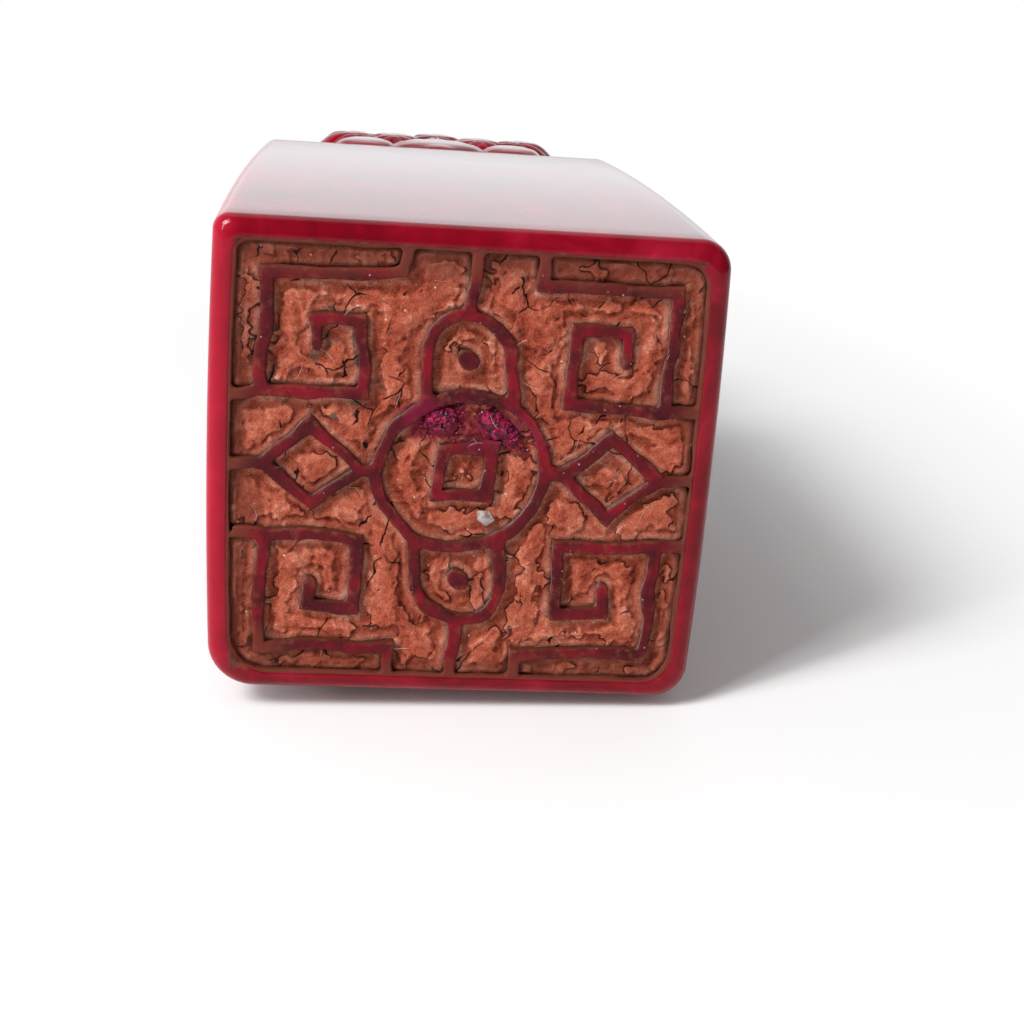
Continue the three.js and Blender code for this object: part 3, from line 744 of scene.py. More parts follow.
def makePasteMaterial():
    material, tree, place = newMaterial("dried_cinnabar_paste")
    wear, filmAndShade, crimson, layer, side = [addNode(tree, "Attribute", attribute_name=name).outputs["Fac"]
                                        for name in ("wear", "filmAndShade", "stain", "layer", "side")]
    blotch = addNode(tree, "TexNoise", {"Vector": place}, Scale=1 / (paste["blotchSize"] * mm), Detail=5.0,
                     Roughness=0.6, Distortion=0.6)
    # streaks along the sweep, bent here and there
    warp = addNode(tree, "TexNoise", {"Vector": place}, Scale=1 / (paste["warpSize"] * mm), Detail=2.0,
                   Roughness=0.5)
    shifted = addNode(tree, "VectorMath", {0: warp.outputs["Color"]}, {1: (0.5, 0.5, 0.5)}, operation="SUBTRACT")
    moved = addNode(tree, "VectorMath", {0: shifted}, {1: (3.0 * mm, 0.5 * mm, 3.0 * mm)}, operation="MULTIPLY")
    warped = addNode(tree, "VectorMath", {0: place, 1: moved}, operation="ADD")
    seen = addNode(tree, "SeparateXYZ", {0: warped})
    facing = addNode(tree, "CombineXYZ", {0: seen.outputs["X"], 1: seen.outputs["Z"]})
    swept = addNode(tree, "Mapping", {"Vector": facing}, vector_type="TEXTURE", Scale=(1, paste["stretch"], 1),
                    Rotation=(0, 0, paste["sweep"]))
    streaks = addNode(tree, "TexNoise", {"Vector": swept}, Scale=1 / (paste["streakSize"] * mm), Detail=4.0,
                      Roughness=0.65)
    # crumbs and grain over them, with painted light where the paste stands proud and painted shade in its hollows
    crumbs = addNode(tree, "TexNoise", {"Vector": place}, Scale=1 / (paste["crumbSize"] * mm), Detail=6.0,
                     Roughness=0.75)
    grain = addNode(tree, "TexNoise", {"Vector": place}, Scale=1 / (paste["grainSize"] * mm), Detail=4.0,
                    Roughness=0.8)
    rough = addNode(tree, "Mix", {2: streaks, 3: crumbs}, {0: 0.5})
    mingled = addNode(tree, "Mix", {2: blotch, 3: rough}, {0: 0.42})
    # painted light on humps and painted shade in hollows, read from the wear attribute
    paintedHumpsAndHollows = addNode(tree, "MapRange", {"Value": wear}, From_Min=0.2, From_Max=0.8, To_Min=-0.12, To_Max=0.12)
    toneWithPaintedRelief = addNode(tree, "Math", {0: mingled, 1: paintedHumpsAndHollows}, operation="ADD")
    sandy = addNode(tree, "MapRange", {"Value": grain}, From_Min=0.25, From_Max=0.75, To_Min=-0.15, To_Max=0.15)
    tone = addNode(tree, "Math", {0: toneWithPaintedRelief, 1: sandy}, operation="ADD")
    colour = addNode(tree, "ValToRGB", {"Fac": tone}, stops=paste["colours"])

    # cracks: the borders of warped cells, closed where the paste held together
    bend = addNode(tree, "TexNoise", {"Vector": place}, Scale=1 / (1.6 * mm), Detail=1.5)
    bent = addNode(tree, "VectorMath", {0: bend.outputs["Color"]}, {1: (1.8 * mm,) * 3}, operation="MULTIPLY")
    crooked = addNode(tree, "VectorMath", {0: place, 1: bent}, operation="ADD")
    spread = addNode(tree, "SeparateXYZ", {0: crooked})
    flat = addNode(tree, "CombineXYZ", {0: spread.outputs["X"], 1: spread.outputs["Z"]})
    cells = addNode(tree, "TexVoronoi", {"Vector": flat}, feature="DISTANCE_TO_EDGE", voronoi_dimensions="2D",
                    Scale=1 / (paste["crackSpacing"] * mm))
    line = addNode(tree, "MapRange", {"Value": cells}, From_Min=paste["crackWidth"] * 0.4,
                   From_Max=paste["crackWidth"], To_Min=1.0, To_Max=0.0)
    hold = addNode(tree, "TexNoise", {"Vector": place}, Scale=1 / (paste["holdSize"] * mm), Detail=2.0)
    torn = addNode(tree, "MapRange", {"Value": hold}, From_Min=0.54, From_Max=0.58)
    longCrack = addNode(tree, "Math", {0: line, 1: torn}, operation="MULTIPLY")
    # gashes: short tears along the sweep, and pits where a crumb fell out
    gashes = addNode(tree, "TexVoronoi", {"Vector": swept}, voronoi_dimensions="2D",
                     Scale=1 / (paste["gashSpacing"] * mm))
    picked = addNode(tree, "SeparateColor", {0: gashes.outputs["Color"]}).outputs["Red"]
    breadth = addNode(tree, "MapRange", {"Value": picked}, From_Min=0.68, From_Max=1.0, To_Max=0.15)
    room = addNode(tree, "Math", {0: breadth, 1: gashes}, operation="SUBTRACT")
    gash = addNode(tree, "MapRange", {"Value": room}, From_Min=0.0, From_Max=0.03)
    pit = addNode(tree, "MapRange", {"Value": crumbs}, From_Min=0.35, From_Max=0.3)
    opened = addNode(tree, "Math", {0: gash, 1: pit}, operation="MAXIMUM")
    # and a dark line under the broken edge of the upper layer
    step = addNode(tree, "Math", {0: layer}, {1: 0.4}, operation="SUBTRACT")
    offStep = addNode(tree, "Math", {0: step}, operation="ABSOLUTE")
    edge = addNode(tree, "MapRange", {"Value": offStep}, From_Min=0.35, From_Max=0.15)
    loose = addNode(tree, "MapRange", {"Value": hold}, From_Min=0.46, From_Max=0.4, To_Max=0.85)
    under = addNode(tree, "Math", {0: edge, 1: loose}, operation="MULTIPLY")
    split = addNode(tree, "Math", {0: longCrack, 1: under}, operation="MAXIMUM")
    crack = addNode(tree, "Math", {0: split, 1: opened}, operation="MAXIMUM")

    # grit, as broken grains, and mould spots that thicken towards one corner
    nudge = addNode(tree, "VectorMath", {0: grain.outputs["Color"]}, {1: (0.12 * mm,) * 3}, operation="MULTIPLY")
    chipped = addNode(tree, "VectorMath", {0: place, 1: nudge}, operation="ADD")
    gritCells = addNode(tree, "TexVoronoi", {"Vector": chipped}, Scale=1 / (paste["gritSpacing"] * mm))
    grit = addNode(tree, "MapRange", {"Value": gritCells}, From_Min=0.09, From_Max=0.14, To_Min=1.0, To_Max=0.0)
    drawn = addNode(tree, "SeparateColor", {0: gritCells.outputs["Color"]}).outputs["Red"]
    rare = addNode(tree, "Math", {0: drawn}, {1: 0.9}, operation="GREATER_THAN")
    gritShare = addNode(tree, "Math", {0: grit, 1: rare}, operation="MULTIPLY")
    spots = addNode(tree, "TexNoise", {"Vector": place}, Scale=1 / (paste["mouldSize"] * mm), Detail=3.0,
                    Roughness=0.6)
    corner = addNode(tree, "VectorMath", {0: place}, {1: tuple(c * mm for c in paste["mouldAt"])},
                     operation="DISTANCE")
    near = addNode(tree, "MapRange", {"Value": corner}, From_Min=paste["mouldReach"][0] * mm,
                   From_Max=paste["mouldReach"][1] * mm, To_Min=0.13, To_Max=0.0)
    mouldy = addNode(tree, "Math", {0: spots, 1: near}, operation="ADD")
    mould = addNode(tree, "MapRange", {"Value": mouldy}, From_Min=0.67, From_Max=0.76, To_Max=0.8)

    # painted shade in the shadow of a line and where the upper layer is gone, with a fringe of dust and painted light
    # against the next line
    # painted shade on the side of a cake that a line shadows
    paintedSideLight = addNode(tree, "MapRange", {"Value": side}, From_Min=-0.15, From_Max=-0.9, To_Max=0.55)
    lower = addNode(tree, "MapRange", {"Value": layer}, To_Min=0.2, To_Max=0.0)
    paintedShade = addNode(tree, "Math", {0: paintedSideLight, 1: lower}, operation="MAXIMUM")
    # dust and painted light on the side of a cake that faces the lamp
    against = addNode(tree, "MapRange", {"Value": side}, From_Min=0.5, From_Max=0.9)
    dusty = addNode(tree, "MapRange", {"Value": grain}, From_Min=0.42, From_Max=0.6, To_Max=0.65)
    dustAndLitFringe = addNode(tree, "Math", {0: against, 1: dusty}, operation="MULTIPLY")
    # brown film beside the rim, partly painted shade
    filmAndShadeHeavy = addNode(tree, "MapRange", {"Value": filmAndShade}, To_Max=0.7)
    inky = addNode(tree, "Math", {0: crimson, 1: crumbs}, operation="ADD")
    dyeHeavy = addNode(tree, "MapRange", {"Value": inky}, From_Min=0.85, From_Max=1.4, To_Max=0.8)
    layers = colour
    for share, tint in ((paintedShade, paste["paintedShade"]), (dustAndLitFringe, paste["dustAndLitFringe"]), (filmAndShadeHeavy, paste["filmAndShade"]),
                        (mould, paste["mould"]), (gritShare, paste["grit"]), (dyeHeavy, crust["smear"]),
                        (crack, paste["crackColour"])):
        layers = addNode(tree, "Mix", {0: share, 6: layers}, {7: linear(tint)}, data_type="RGBA")
    height = addNode(tree, "Mix", {2: rough, 3: grain}, {0: 0.35})
    cut = addNode(tree, "Math", {0: height, 1: crack}, operation="SUBTRACT")
    bump = addNode(tree, "Bump", {"Height": cut}, Strength=1.0, Distance=paste["bumpDepth"] * mm)
    shader = addNode(tree, "BsdfPrincipled", {"Base Color": layers, "Normal": bump}, Roughness=0.85, IOR=1.45,
                     Specular_IOR_Level=0.2)
    addNode(tree, "OutputMaterial", {"Surface": shader})
    return material


# dried crimson ink: shellac ink that set in brittle lumps and crumbled. Its broken faces sparkle, dark in the mass

crust = {
    "voxel": 0.09,
    "smoothing": 3,
    "lumps": [(0.7, 0.16, 3.0), (0.28, 0.12, 6.0)],     # (size, height) in mm, and their shift
    "grown": 0.05,
    "shardSize": 0.15,       # mm
    "shards": 230,           # on each lump
    "strays": 90,            # crumbs that rolled off
    "strayDepth": 0.42,      # mm under the face, where they lie
    "colours": [(0.34, "#3f0a25"), (0.52, "#850e39"), (0.7, "#a6184a")],
    "smear": "#7e1236",
    "crumbSize": 0.3,        # mm
    "massSize": 0.8,
    "crumbDepth": 0.1,
}


fullTurn = 6.28      # radians


def chance(i, k):
    # a fixed number from 0 to 1 for the i-th thing, another for each k
    return (math.sin(i * 12.9898 + k * 78.233) * 43758.5453) % 1


def makeCrust(name, index):
    piece = copyOfNode(name, name + "_crumbs")
    remesh(piece, crust["voxel"], crust["smoothing"])
    places, normals = skinOf(piece)
    rough = sum(height * waves(places, size, shift) for size, height, shift in crust["lumps"])
    setSkin(piece, places + normals * (rough + crust["grown"])[:, None])
    places = skinOf(piece)[0]
    middle = (places.max(0) + places.min(0)) / 2
    shards = [piece]
    for i in range(crust["shards"] + crust["strays"]):
        point = int(chance(i, 1 + index) * len(places))
        at = Vector(places[point])
        if at.y > middle[1]:
            at.y = 2 * middle[1] - at.y      # a point of the hidden half goes to the one that shows
        size = crust["shardSize"] * (0.5 + 1.3 * chance(i, 2) ** 2)
        if i >= crust["shards"]:
            # a stray crumb, out on the paste beside the lump
            away = 1.2 + 0.9 * chance(i, 5)
            at.x = middle[0] + (at.x - middle[0]) * away * 1.25
            at.z = middle[2] + (at.z - middle[2]) * away
            at.y = faceY + crust["strayDepth"]
            size *= 0.6
        turn = [fullTurn * chance(i, k) for k in (6, 7, 8)]
        bpy.ops.mesh.primitive_ico_sphere_add(subdivisions=1, radius=size, location=at, rotation=turn)
        shard = bpy.context.object
        shard.scale = (0.5 + 0.6 * chance(i, 9), 0.6 + 0.5 * chance(i, 10), 1.2)
        shards.append(shard)
    selectOnly(*shards)
    bpy.ops.object.join()
    places = skinOf(piece)[0]
    places[:, 1] = np.maximum(places[:, 1], faceY + paste["lowest"])
    setSkin(piece, places)
    return piece


def makeCrustMaterial():
    material, tree, place = newMaterial("dried_crimson_ink")
    crumbs = addNode(tree, "TexVoronoi", {"Vector": place}, Scale=1 / (crust["crumbSize"] * mm))
    tone = addNode(tree, "SeparateColor", {0: crumbs.outputs["Color"]})
    mass = addNode(tree, "TexNoise", {"Vector": place}, Scale=1 / (crust["massSize"] * mm), Detail=2.0)
    mingled = addNode(tree, "Mix", {2: tone.outputs["Red"], 3: mass}, {0: 0.6})
    colour = addNode(tree, "ValToRGB", {"Fac": mingled}, stops=crust["colours"])
    shine = addNode(tree, "MapRange", {"Value": tone.outputs["Green"]}, To_Min=0.18, To_Max=0.5)
    bump = addNode(tree, "Bump", {"Height": crumbs}, Strength=0.5, Distance=crust["crumbDepth"] * mm)
    shader = addNode(tree, "BsdfPrincipled", {"Base Color": colour, "Roughness": shine, "Normal": bump}, IOR=1.55,
                     Specular_IOR_Level=0.3)
    addNode(tree, "OutputMaterial", {"Surface": shader})
    return material


finishPiece(makeRelief(), makeStainedResin(), ["seal_block"])
driedPaste = makePasteMaterial()
for number in range(1, paste["cakes"] + 1):
    cake, node = makeCake(number)
    finishPiece(cake, driedPaste, [node])
print("paste cakes made")
driedInk = makeCrustMaterial()
for index, node in enumerate(("ink_crust_left", "ink_crust_right")):
    finishPiece(makeCrust(node, index), driedInk, [node], 20)
print("ink crusts made")


# loose bits on the face: a flake of mica, and fibres shed by the paper that the seal was pressed on

bits = {
    "flake": {"x": 1.9, "z": 15.0, "width": 1.6, "height": 1.3, "thickness": 0.05, "turn": (0.12, 0.5, -0.04),
              "proud": 0.15, "sheetSize": 0.45,
              "colours": [(0.36, "#8a5a4c"), (0.46, "#a29a8e"), (0.62, "#c9b6ba")]},
    "fibres": 46,
    "fibreLength": 1.5,      # mm, on average
    "fibreRadius": 0.016,
    "fibreMargin": 0.8,      # mm that they keep from the rim
    "fibreLift": (0.03, 0.1),      # mm over the surface, and how much more by chance
    "fibreLowest": 0.08,     # mm under the face, as far as they may stand out
    "fibreColours": [(0.4, "#a08a80"), (0.6, "#c9bfb4")],
}


def surfaceAt(x, z):
    # depth of the face's surface under a point of the face, in millimetres
    graph = bpy.context.evaluated_depsgraph_get()
    start = Vector((x * mm, (faceY - 5) * mm, z * mm))
    hit, place = bpy.context.scene.ray_cast(graph, start, Vector((0, 1, 0)))[:2]
    return place.y / mm if hit else faceY


def makeFlake():
    flake = bits["flake"]
    bpy.ops.mesh.primitive_circle_add(vertices=5, radius=0.5, fill_type="NGON", rotation=(math.pi / 2, 0, 0))
    piece = bpy.context.object
    piece.name = "mica_flake"
    for i, vert in enumerate(piece.data.vertices):
        vert.co *= 0.92 + 0.2 * chance(i, 3)
    piece.scale = (flake["width"], flake["height"], 1)
    bpy.ops.object.transform_apply()
    wall = piece.modifiers.new("thickness", "SOLIDIFY")
    wall.thickness = flake["thickness"]
    edge = piece.modifiers.new("edge", "BEVEL")
    edge.width = flake["thickness"] / 4
    applyAll(piece)
    piece.rotation_euler = flake["turn"]
    piece.location = (flake["x"], surfaceAt(flake["x"], flake["z"]) - flake["proud"], flake["z"])
    # mica, split along its sheets: glassy, with the paste that it lies in showing between them
    material, tree, place = newMaterial("cleaved_mica")
    sheets = addNode(tree, "TexNoise", {"Vector": place}, Scale=1 / (flake["sheetSize"] * mm), Detail=4.0)
    tone = addNode(tree, "ValToRGB", {"Fac": sheets}, stops=flake["colours"])
    shader = addNode(tree, "BsdfPrincipled", {"Base Color": tone}, Roughness=0.3, IOR=1.58,
                     Transmission_Weight=0.15)
    addNode(tree, "OutputMaterial", {"Surface": shader})
    finishPiece(piece, material, [])


def makeFibres():
    fibres = []
    margin = bits["fibreMargin"]
    lift, more = bits["fibreLift"]
    for i in range(bits["fibres"]):
        x = (chance(i, 1) * 2 - 1) * (fieldHalf - margin)
        z = fieldLow + margin + chance(i, 2) * (fieldHigh - fieldLow - 2 * margin)
        heading = fullTurn * chance(i, 3)
        length = bits["fibreLength"] * (0.4 + 0.9 * chance(i, 4))
        bpy.ops.curve.primitive_bezier_curve_add(location=(0, 0, 0))
        curve = bpy.context.object
        points = curve.data.splines[0].bezier_points
        for point, share in zip(points, (-0.5, 0.5)):
            px = x + share * length * math.cos(heading)
            pz = z + share * length * math.sin(heading)
            py = max(surfaceAt(px, pz) - lift - more * chance(i, 5 + share), faceY + bits["fibreLowest"])
            bend = (chance(i, 7) - 0.5) * length
            point.co = (px, py, pz)
            reach = Vector((length / 3 * math.cos(heading), -0.05, length / 3 * math.sin(heading)))
            swing = Vector((-math.sin(heading) * bend, 0, math.cos(heading) * bend)) / 2
            point.handle_left_type = point.handle_right_type = "FREE"
            point.handle_left = point.co - reach + swing
            point.handle_right = point.co + reach + swing
        curve.data.bevel_depth = bits["fibreRadius"]
        curve.data.bevel_resolution = 0
        curve.data.resolution_u = 8
        curve.data.use_fill_caps = True
        fibres.append(curve)
    selectOnly(*fibres)
    bpy.ops.object.convert(target="MESH")
    bpy.ops.object.join()
    piece = bpy.context.object
    piece.name = "paper_fibres"
    # unbleached paper fibre: pale and matte, soiled by the paste in places
    material, tree, place = newMaterial("shed_paper_fibre")
    tint = addNode(tree, "TexNoise", {"Vector": place}, Scale=1 / (2 * mm))
    tone = addNode(tree, "ValToRGB", {"Fac": tint}, stops=bits["fibreColours"])
    shader = addNode(tree, "BsdfPrincipled", {"Base Color": tone}, Roughness=0.7)
    addNode(tree, "OutputMaterial", {"Surface": shader})
    finishPiece(piece, material, [])


makeFlake()
makeFibres()
print("flake and fibres laid")


# the knob: a crouching lion with its head turned, carved from the same bar and cut to its sides.
# Its forms stand in the lion's own frame: x to its right, y forward, z up from the shoulder of the block

lion = {
    "voxel": 0.215,
    "smoothing": 4,
    "mostTriangles": 190000,
    "trim": 0.12,             # mm that the knob stays inside the sides of the bar
    "cutRounding": 0.7,
    "root": 1.0,              # mm that it goes on into the block
    # a form is (its middle, its three radii)
    "middle": [((0, -2.5, 7.6), (9.2, 14.2, 8.4)), ((0, -9.4, 7.8), (10, 9.2, 8.6)), ((0, 9.4, 8), (8, 6.9, 8.4)),
               ((1.2, 8.2, 14), (7.4, 6.9, 6.8))],
    "paired": [((8.1, -10.7, 6.6), (6, 7.9, 6.9)), ((7.6, 6.6, 7.4), (5, 5.8, 7.3)),
               ((9.3, 13.2, 2.6), (3.3, 3.4, 2.9)), ((7.9, 1.4, 3.4), (1.5, 1.9, 2.3)),
               ((8.3, -1.2, 2.8), (1.3, 1.7, 1.9))],
    # a limb is (start, end, radius at the start, radius at the end)
    "limbs": [((10.6, -12, 2.4), (10.9, -2.6, 2.3), 2.6, 2.5), ((8.9, 6.5, 4.4), (9.2, 12.2, 2.8), 3.4, 2.8)],
    "feet": [(9.3, 15.4), (10.9, -1.3)],      # (x, y) of the middle toe
    "toe": (1.35, 1.9, 1.7),
    "toeSpread": 2.0,
    "toeHeight": 1.5,
    "claw": (0.45, 0.9, 0.5),
    "clawAhead": (1.5, 0.6),  # mm ahead of the toe's middle and below it
    "tail": ((0, -14.6, 5.4), (0, -14, 12.6), 3.6, 3.9),
    "plumes": [((-9.5, -13.8, 13.4), (4.9, 4.5, 4.6)), ((9.5, -13.8, 13.4), (4.9, 4.5, 4.6)),
               ((0, -13.5, 15), (5, 4.9, 4.4)),
               ((-4.8, -14, 13), (4.4, 4.5, 4.6)), ((4.8, -14, 13), (4.4, 4.5, 4.6))],
    "spine": {"knobs": 5, "radius": 1.5, "from": -6.5, "to": 2, "height": 15.4},
    "head": {
        "at": (3, 9, 17.6),
        "turn": -0.95,        # radians towards the lion's right
        "middle": [((0, 0, 0), (5.9, 6, 5.4)), ((0, 5, -1.2), (4.5, 3.5, 2.5)), ((0, 4, -4.7), (3.4, 3.5, 1.5)),
                   ((0, 8, 0.2), (2.3, 1.3, 1.2)), ((0, 5.6, 2.4), (1.2, 1.9, 1.4)),
                   ((0, 6.5, -3.6), (1.9, 1.2, 0.6))],
        "paired": [((2.9, 4.4, 3), (2.3, 1.7, 1.2)), ((2.6, 5.2, 1.2), (1.4, 1.3, 1.3)),
                   ((4.9, 2.6, -2.3), (1.9, 2.2, 2.1)), ((5.9, 1.9, 2.2), (1.2, 1.5, 2.3)),
                   ((1.6, 3.4, -6.6), (1.5, 1.6, 1.6)), ((1.9, 7.2, -1.9), (2, 1.3, 1.1)),
                   ((1.7, 7.4, -3.3), (0.4, 0.45, 0.8)), ((1.5, 8.3, 0.1), (0.9, 0.9, 0.8)),
                   ((4.6, 3.6, 3.9), (1, 1, 0.9))],
        # pupils, nostrils and ears, each as (its middle, its radius, its depth)
        "pits": [((2.7, 6.5, 1.2), 0.5, 0.4), ((0.9, 9.3, 0), 0.55, 0.5), ((6.9, 2.4, 2.2), 1.3, 0.5)],
    },
    "curl": 2.0,              # mm, the radius of a curl of the mane
    "maneRows": [(9, 1.4, 6.0, -0.7), (7, 4.4, 4.9, -0.45), (6, 6.6, 4.4, -0.2)],    # curls, back, ring, first angle
    "curlPitch": 0.95,        # mm from turn to turn of a curl's spiral
    "curlDepth": 0.3,
    # spirals on the haunches and the shoulders
    "swirl": {"at": (8.1, -10.7, 6.6), "pitch": 2.1, "turns": 1.6, "depth": 0.34},
    "shoulderSwirl": {"at": (7.6, 6.6, 8.4), "pitch": 1.9, "turns": 1.4, "depth": 0.3},
    "flames": 7,              # lines round each plume of the tail
    "flameDepth": 0.16,
    "facets": (2.4, 0.05),    # (size, height) in mm of the soft facets that the tool left
}

# from the lion's frame and from its head's frame to the stamp's
toBlock = Matrix(((1, 0, 0, 0), (0, 0, 1, faceY + block["length"]), (0, -1, 0, block["farHeight"] / 2), (0, 0, 0, 1)))
toHead = toBlock @ Matrix.Translation(lion["head"]["at"]) @ Matrix.Rotation(lion["head"]["turn"], 4, "Z")


def addForm(at, radii, frameOf=toBlock):
    bpy.ops.mesh.primitive_uv_sphere_add(segments=28, ring_count=14, radius=1)
    form = bpy.context.object
    form.data.transform(frameOf @ Matrix.Translation(at) @ Matrix.Diagonal((*radii, 1)))
    return form


def addPair(at, radii, frameOf=toBlock):
    return [addForm((side * at[0], at[1], at[2]), radii, frameOf) for side in (1, -1)]


def addLimb(start, end, startRadius, endRadius, side=1):
    # eight round forms in a row, which the skin runs together
    forms = []
    for i in range(8):
        share = i / 7
        at = Vector(start).lerp(Vector(end), share)
        radius = startRadius + (endRadius - startRadius) * share
        forms.append(addForm((side * at.x, at.y, at.z), (radius, radius, radius)))
    return forms


def carveSpiral(places, normals, centre, axis, radius, pitch, depth):
    # a spiral groove around an axis, fading out at its rim
    away = places - np.array(centre)
    axis = Vector(axis).normalized()
    side = axis.orthogonal().normalized()
    across = away @ np.array(side)
    up = away @ np.array(axis.cross(side))
    ahead = away @ np.array(axis)
    ring = np.hypot(across, up)
    groove = 0.5 + 0.5 * np.cos(np.arctan2(up, across) + 2 * math.pi * ring / pitch)
    share = groove ** 2 * smoothStep(radius - ring, 0, 0.35 * radius) * (ahead > 0) * (ring < radius)
    return places - normals * (depth * share)[:, None]


def keepInside(values, limit):
    # cut flat at the limit on both sides, with the edges of the cut polished round
    start = limit - lion["cutRounding"]
    beyond = np.maximum(np.abs(values) - start, 0) / lion["cutRounding"]
    return np.where(beyond > 0, np.sign(values) * (start + lion["cutRounding"] * np.tanh(beyond)), values)


def makeLion():
    forms = [addForm(at, radii) for at, radii in lion["middle"] + lion["plumes"]]
    for at, radii in lion["paired"]:
        forms += addPair(at, radii)
    for limb in lion["limbs"]:
        forms += addLimb(*limb) + addLimb(*limb, side=-1)
    forms += addLimb(*lion["tail"])
    ahead, below = lion["clawAhead"]
    for x, y in lion["feet"]:
        for n in (-1, 0, 1):
            toeX = x + n * lion["toeSpread"]
            forms += addPair((toeX, y, lion["toeHeight"]), lion["toe"])
            forms += addPair((toeX, y + ahead, lion["toeHeight"] - below), lion["claw"])
    spine = lion["spine"]
    for i in range(spine["knobs"]):
        along = spine["from"] + (spine["to"] - spine["from"]) * i / (spine["knobs"] - 1)
        forms.append(addForm((0, along, spine["height"]), (spine["radius"],) * 3))
    head = lion["head"]
    forms += [addForm(at, radii, toHead) for at, radii in head["middle"]]
    for at, radii in head["paired"]:
        forms += addPair(at, radii, toHead)
    curls = []
    for count, back, ring, first in lion["maneRows"]:
        for i in range(count):
            angle = first + (math.pi - 2 * first) * i / (count - 1)
            at = (ring * math.cos(angle), -back, ring * math.sin(angle))
            curls.append(at)
            forms.append(addForm(at, (lion["curl"],) * 3, toHead))
    selectOnly(*forms)
    bpy.ops.object.join()
    piece = bpy.context.object
    piece.name = "lion_knob"
    remesh(piece, lion["voxel"], lion["smoothing"])

    places, normals = skinOf(piece)
    headMiddle = toHead @ Vector((0, 0, 0))
    for at in curls:
        centre = toHead @ Vector(at)
        outwards = centre - headMiddle
        near = np.linalg.norm(places - np.array(centre), axis=1) < lion["curl"] * 1.25
        places[near] = carveSpiral(places[near], normals[near], centre, outwards, lion["curl"], lion["curlPitch"],
                                   lion["curlDepth"])
    for swirl in (lion["swirl"], lion["shoulderSwirl"]):
        for side in (1, -1):
            x, y, z = swirl["at"]
            centre = toBlock @ Vector((side * x, y, z))
            outer = places[:, 0] * side > x
            places[outer] = carveSpiral(places[outer], normals[outer], centre, (side, 0, 0),
                                        swirl["pitch"] * swirl["turns"], swirl["pitch"], swirl["depth"])
    # flame lines on the tail's plumes
    for at, radii in lion["plumes"]:
        away = (places - np.array(toBlock @ Vector(at))) / np.array((radii[0], radii[2], radii[1]))
        near = np.linalg.norm(away, axis=1) < 1.15
        around = np.arctan2(away[:, 0], away[:, 1] + 0.3)
        lines = 0.5 + 0.5 * np.cos(lion["flames"] * around + 2.2 * away[:, 2])
        places -= normals * (lion["flameDepth"] * lines ** 3 * near)[:, None]
    for at, radius, depth in head["pits"]:
        for side in (1, -1):
            centre = toHead @ Vector((side * at[0], at[1], at[2]))
            share = 1 - smoothStep(np.linalg.norm(places - np.array(centre), axis=1), 0, radius)
            places -= normals * (depth * share)[:, None]
    # the tool's soft facets, then the sides of the bar
    size, height = lion["facets"]
    places += normals * (height * waves(places, size, 1.0))[:, None]
    halfHigh = block["farHeight"] / 2
    places[:, 0] = keepInside(places[:, 0], block["farWidth"] / 2 - lion["trim"])
    places[:, 2] = keepInside(places[:, 2] - halfHigh, halfHigh - lion["trim"])
    places[:, 2] += halfHigh
    places[:, 1] = np.minimum(places[:, 1], cadBox[1][1] / mm)
    setSkin(piece, places)
    cutAway(piece, (0, faceY + block["length"] - lion["root"], 0), (0, -1, 0))
    thinTo(piece, lion["mostTriangles"])
    print("lion carved,", len(piece.data.polygons), "faces")
    return piece


finishPiece(makeLion(), cherry, ["seal_block"])


# floor and light: a white sweep and large soft lamps

studio = {
    "floor": "#fafafa",
    "lean": (0.55, 1.6),     # degrees: the stamp lies on its knob's right side, its face is just clear of the paper
    "middle": (0.016, -0.015),             # of the shadow, in metres
    "pivot": (0.058, 0.0035, 0.00005),     # metres back and right from there to where the stamp rests, and the gap
    "stretch": (1, 0.4, 1),  # the shadow is longer to the back than to the side
    "floorGlow": 0.04,       # share of the floor's brightness, as the camera sees it, that is its own
    "glowFrom": 0.026,       # metres from the shadow, and from here outwards the paper fades into a white sweep
    "glowTo": 0.075,
    "world": 0.28,           # the light of the room on the stamp
    "dim": 0.08,             # what its gloss reflects: the room behind the camera,
    "reflected": 1.0,        # the wall behind the stamp,
    "leftWall": 0.45,        # and the wall on its left
    "reflectedTint": (0.89, 0.99, 1.0, 1.0),
    "lamps": [               # name, place, target, size in metres, watts, colour
        ("softbox_left", (-0.33, -0.27, 0.4), (0, 0, 0.02), (0.18, 0.18), 2.4, (1, 1, 1)),
        ("window_left", (-0.33, -0.27, 0.37), (0, 0, 0.02), (0.04, 0.5), 1.2, (1, 1, 1)),
        ("softbox_above", (-0.08, 0.22, 0.6), (0, 0, 0.02), (0.5, 0.3), 0.25, (1, 1, 1)),
        ("softbox_back", (0.1, 0.75, 0.27), (0, 0, 0.03), (1.3, 0.42), 0.95, (0.9, 0.95, 1)),
    ],
}


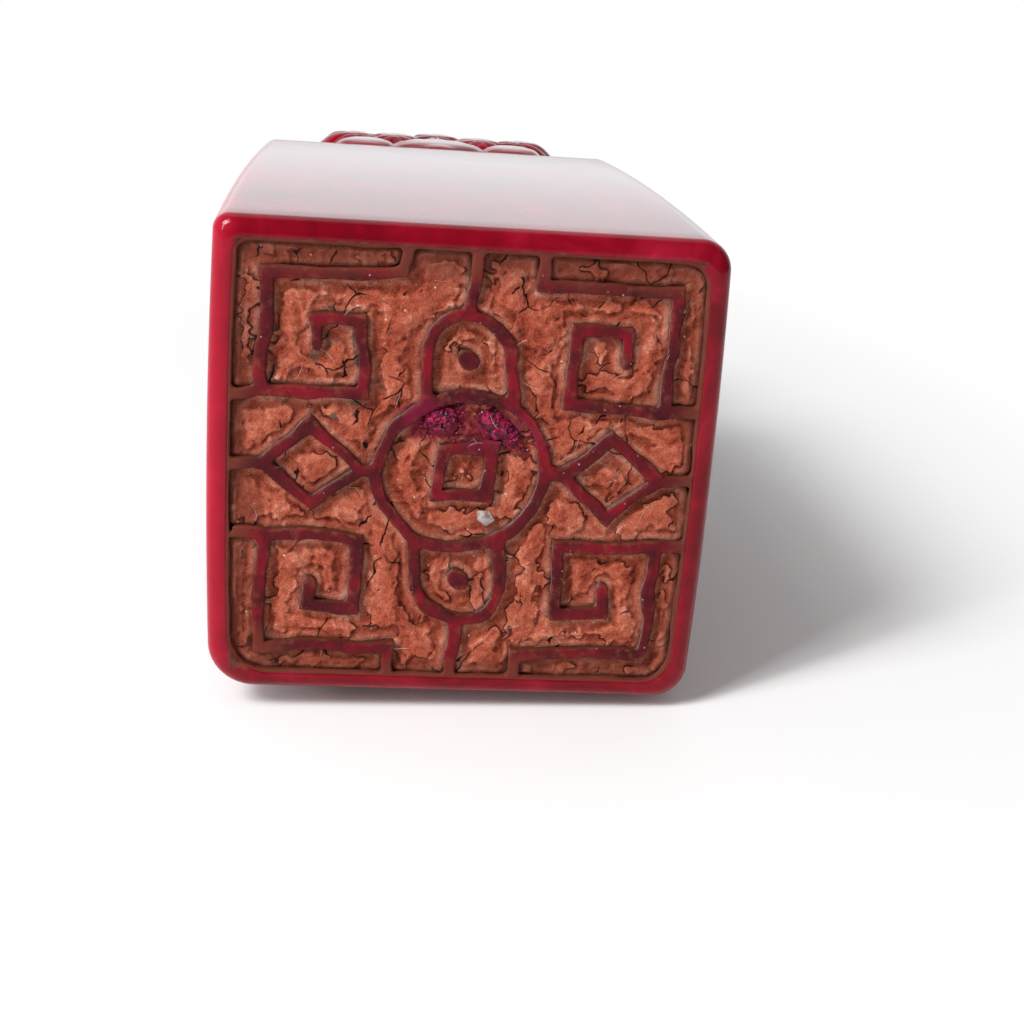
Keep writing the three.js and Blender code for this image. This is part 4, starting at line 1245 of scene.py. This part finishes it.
def makeFloor():
    back, right = (math.radians(angle) for angle in studio["lean"])
    pivotBack, pivotRight, gap = studio["pivot"]
    below = gap + pivotBack * math.tan(back) + pivotRight * math.tan(right)
    bpy.ops.mesh.primitive_plane_add(size=30, location=(*studio["middle"], -below), rotation=(back, -right, 0))
    floor = bpy.context.object
    floor.name = "floor"
    # white paper, matte. Away from the shadow it fades into the white of the sweep
    material, tree, place = newMaterial("white_paper_floor")
    path = addNode(tree, "LightPath")
    paper = addNode(tree, "BsdfDiffuse", Color=linear(studio["floor"]))
    white = addNode(tree, "Emission", Color=(1, 1, 1, 1), Strength=1.0)
    narrowed = addNode(tree, "VectorMath", {0: place}, {1: studio["stretch"]}, operation="MULTIPLY")
    away = addNode(tree, "VectorMath", {0: narrowed}, operation="LENGTH")
    glow = addNode(tree, "MapRange", {"Value": away}, From_Min=studio["glowFrom"], From_Max=studio["glowTo"],
                   To_Min=studio["floorGlow"])
    seen = addNode(tree, "Math", {0: path.outputs["Is Camera Ray"], 1: path.outputs["Is Glossy Ray"]},
                   operation="MAXIMUM")
    seenThrough = addNode(tree, "Math", {0: seen, 1: path.outputs["Is Transmission Ray"]}, operation="MAXIMUM")
    share = addNode(tree, "Math", {0: seenThrough, 1: glow}, operation="MULTIPLY")
    mixed = addNode(tree, "MixShader", {0: share, 1: paper, 2: white})
    addNode(tree, "OutputMaterial", {"Surface": mixed})
    floor.data.materials.append(material)


def makeWorld():
    # a room that is white behind the stamp and on its left, and dim behind the camera
    world = bpy.data.worlds.new("white_studio")
    bpy.context.scene.world = world
    world.use_nodes = True
    tree = world.node_tree
    tree.nodes.clear()
    path = addNode(tree, "LightPath")
    heading = addNode(tree, "TexCoord").outputs["Generated"]
    along = addNode(tree, "SeparateXYZ", {0: heading})
    behind = addNode(tree, "MapRange", {"Value": along.outputs["Y"]}, From_Min=0.1, From_Max=0.6,
                     To_Min=studio["dim"], To_Max=studio["reflected"])
    left = addNode(tree, "MapRange", {"Value": along.outputs["X"]}, From_Min=-0.35, From_Max=-0.8,
                   To_Max=studio["leftWall"])
    white = addNode(tree, "Math", {0: behind, 1: left}, operation="MAXIMUM")
    lit = addNode(tree, "Mix", {0: path.outputs["Is Glossy Ray"], 3: white}, {2: studio["world"]})
    seen = addNode(tree, "Math", {0: path.outputs["Is Camera Ray"], 1: path.outputs["Is Transmission Ray"]},
                   operation="MAXIMUM")
    strength = addNode(tree, "Mix", {0: seen, 2: lit}, {3: 1.0})
    tint = addNode(tree, "Mix", {0: path.outputs["Is Glossy Ray"]}, {6: (1, 1, 1, 1), 7: studio["reflectedTint"]},
                   data_type="RGBA")
    sky = addNode(tree, "Background", {"Strength": strength, "Color": tint})
    addNode(tree, "OutputWorld", {"Surface": sky})


def makeLamp(name, place, target, size, power, colour):
    data = bpy.data.lights.new(name, "AREA")
    data.shape = "RECTANGLE"
    data.size, data.size_y = size
    data.energy = power
    data.color = colour
    lamp = bpy.data.objects.new(name, data)
    bpy.context.scene.collection.objects.link(lamp)
    lamp.location = place
    lamp.rotation_mode = "QUATERNION"
    lamp.rotation_quaternion = (Vector(target) - Vector(place)).to_track_quat("-Z", "Y")
    lamp.visible_camera = False


makeFloor()
makeWorld()
for lamp in studio["lamps"]:
    makeLamp(*lamp)
print("studio set")

bpy.context.scene.view_settings.view_transform = "Standard"
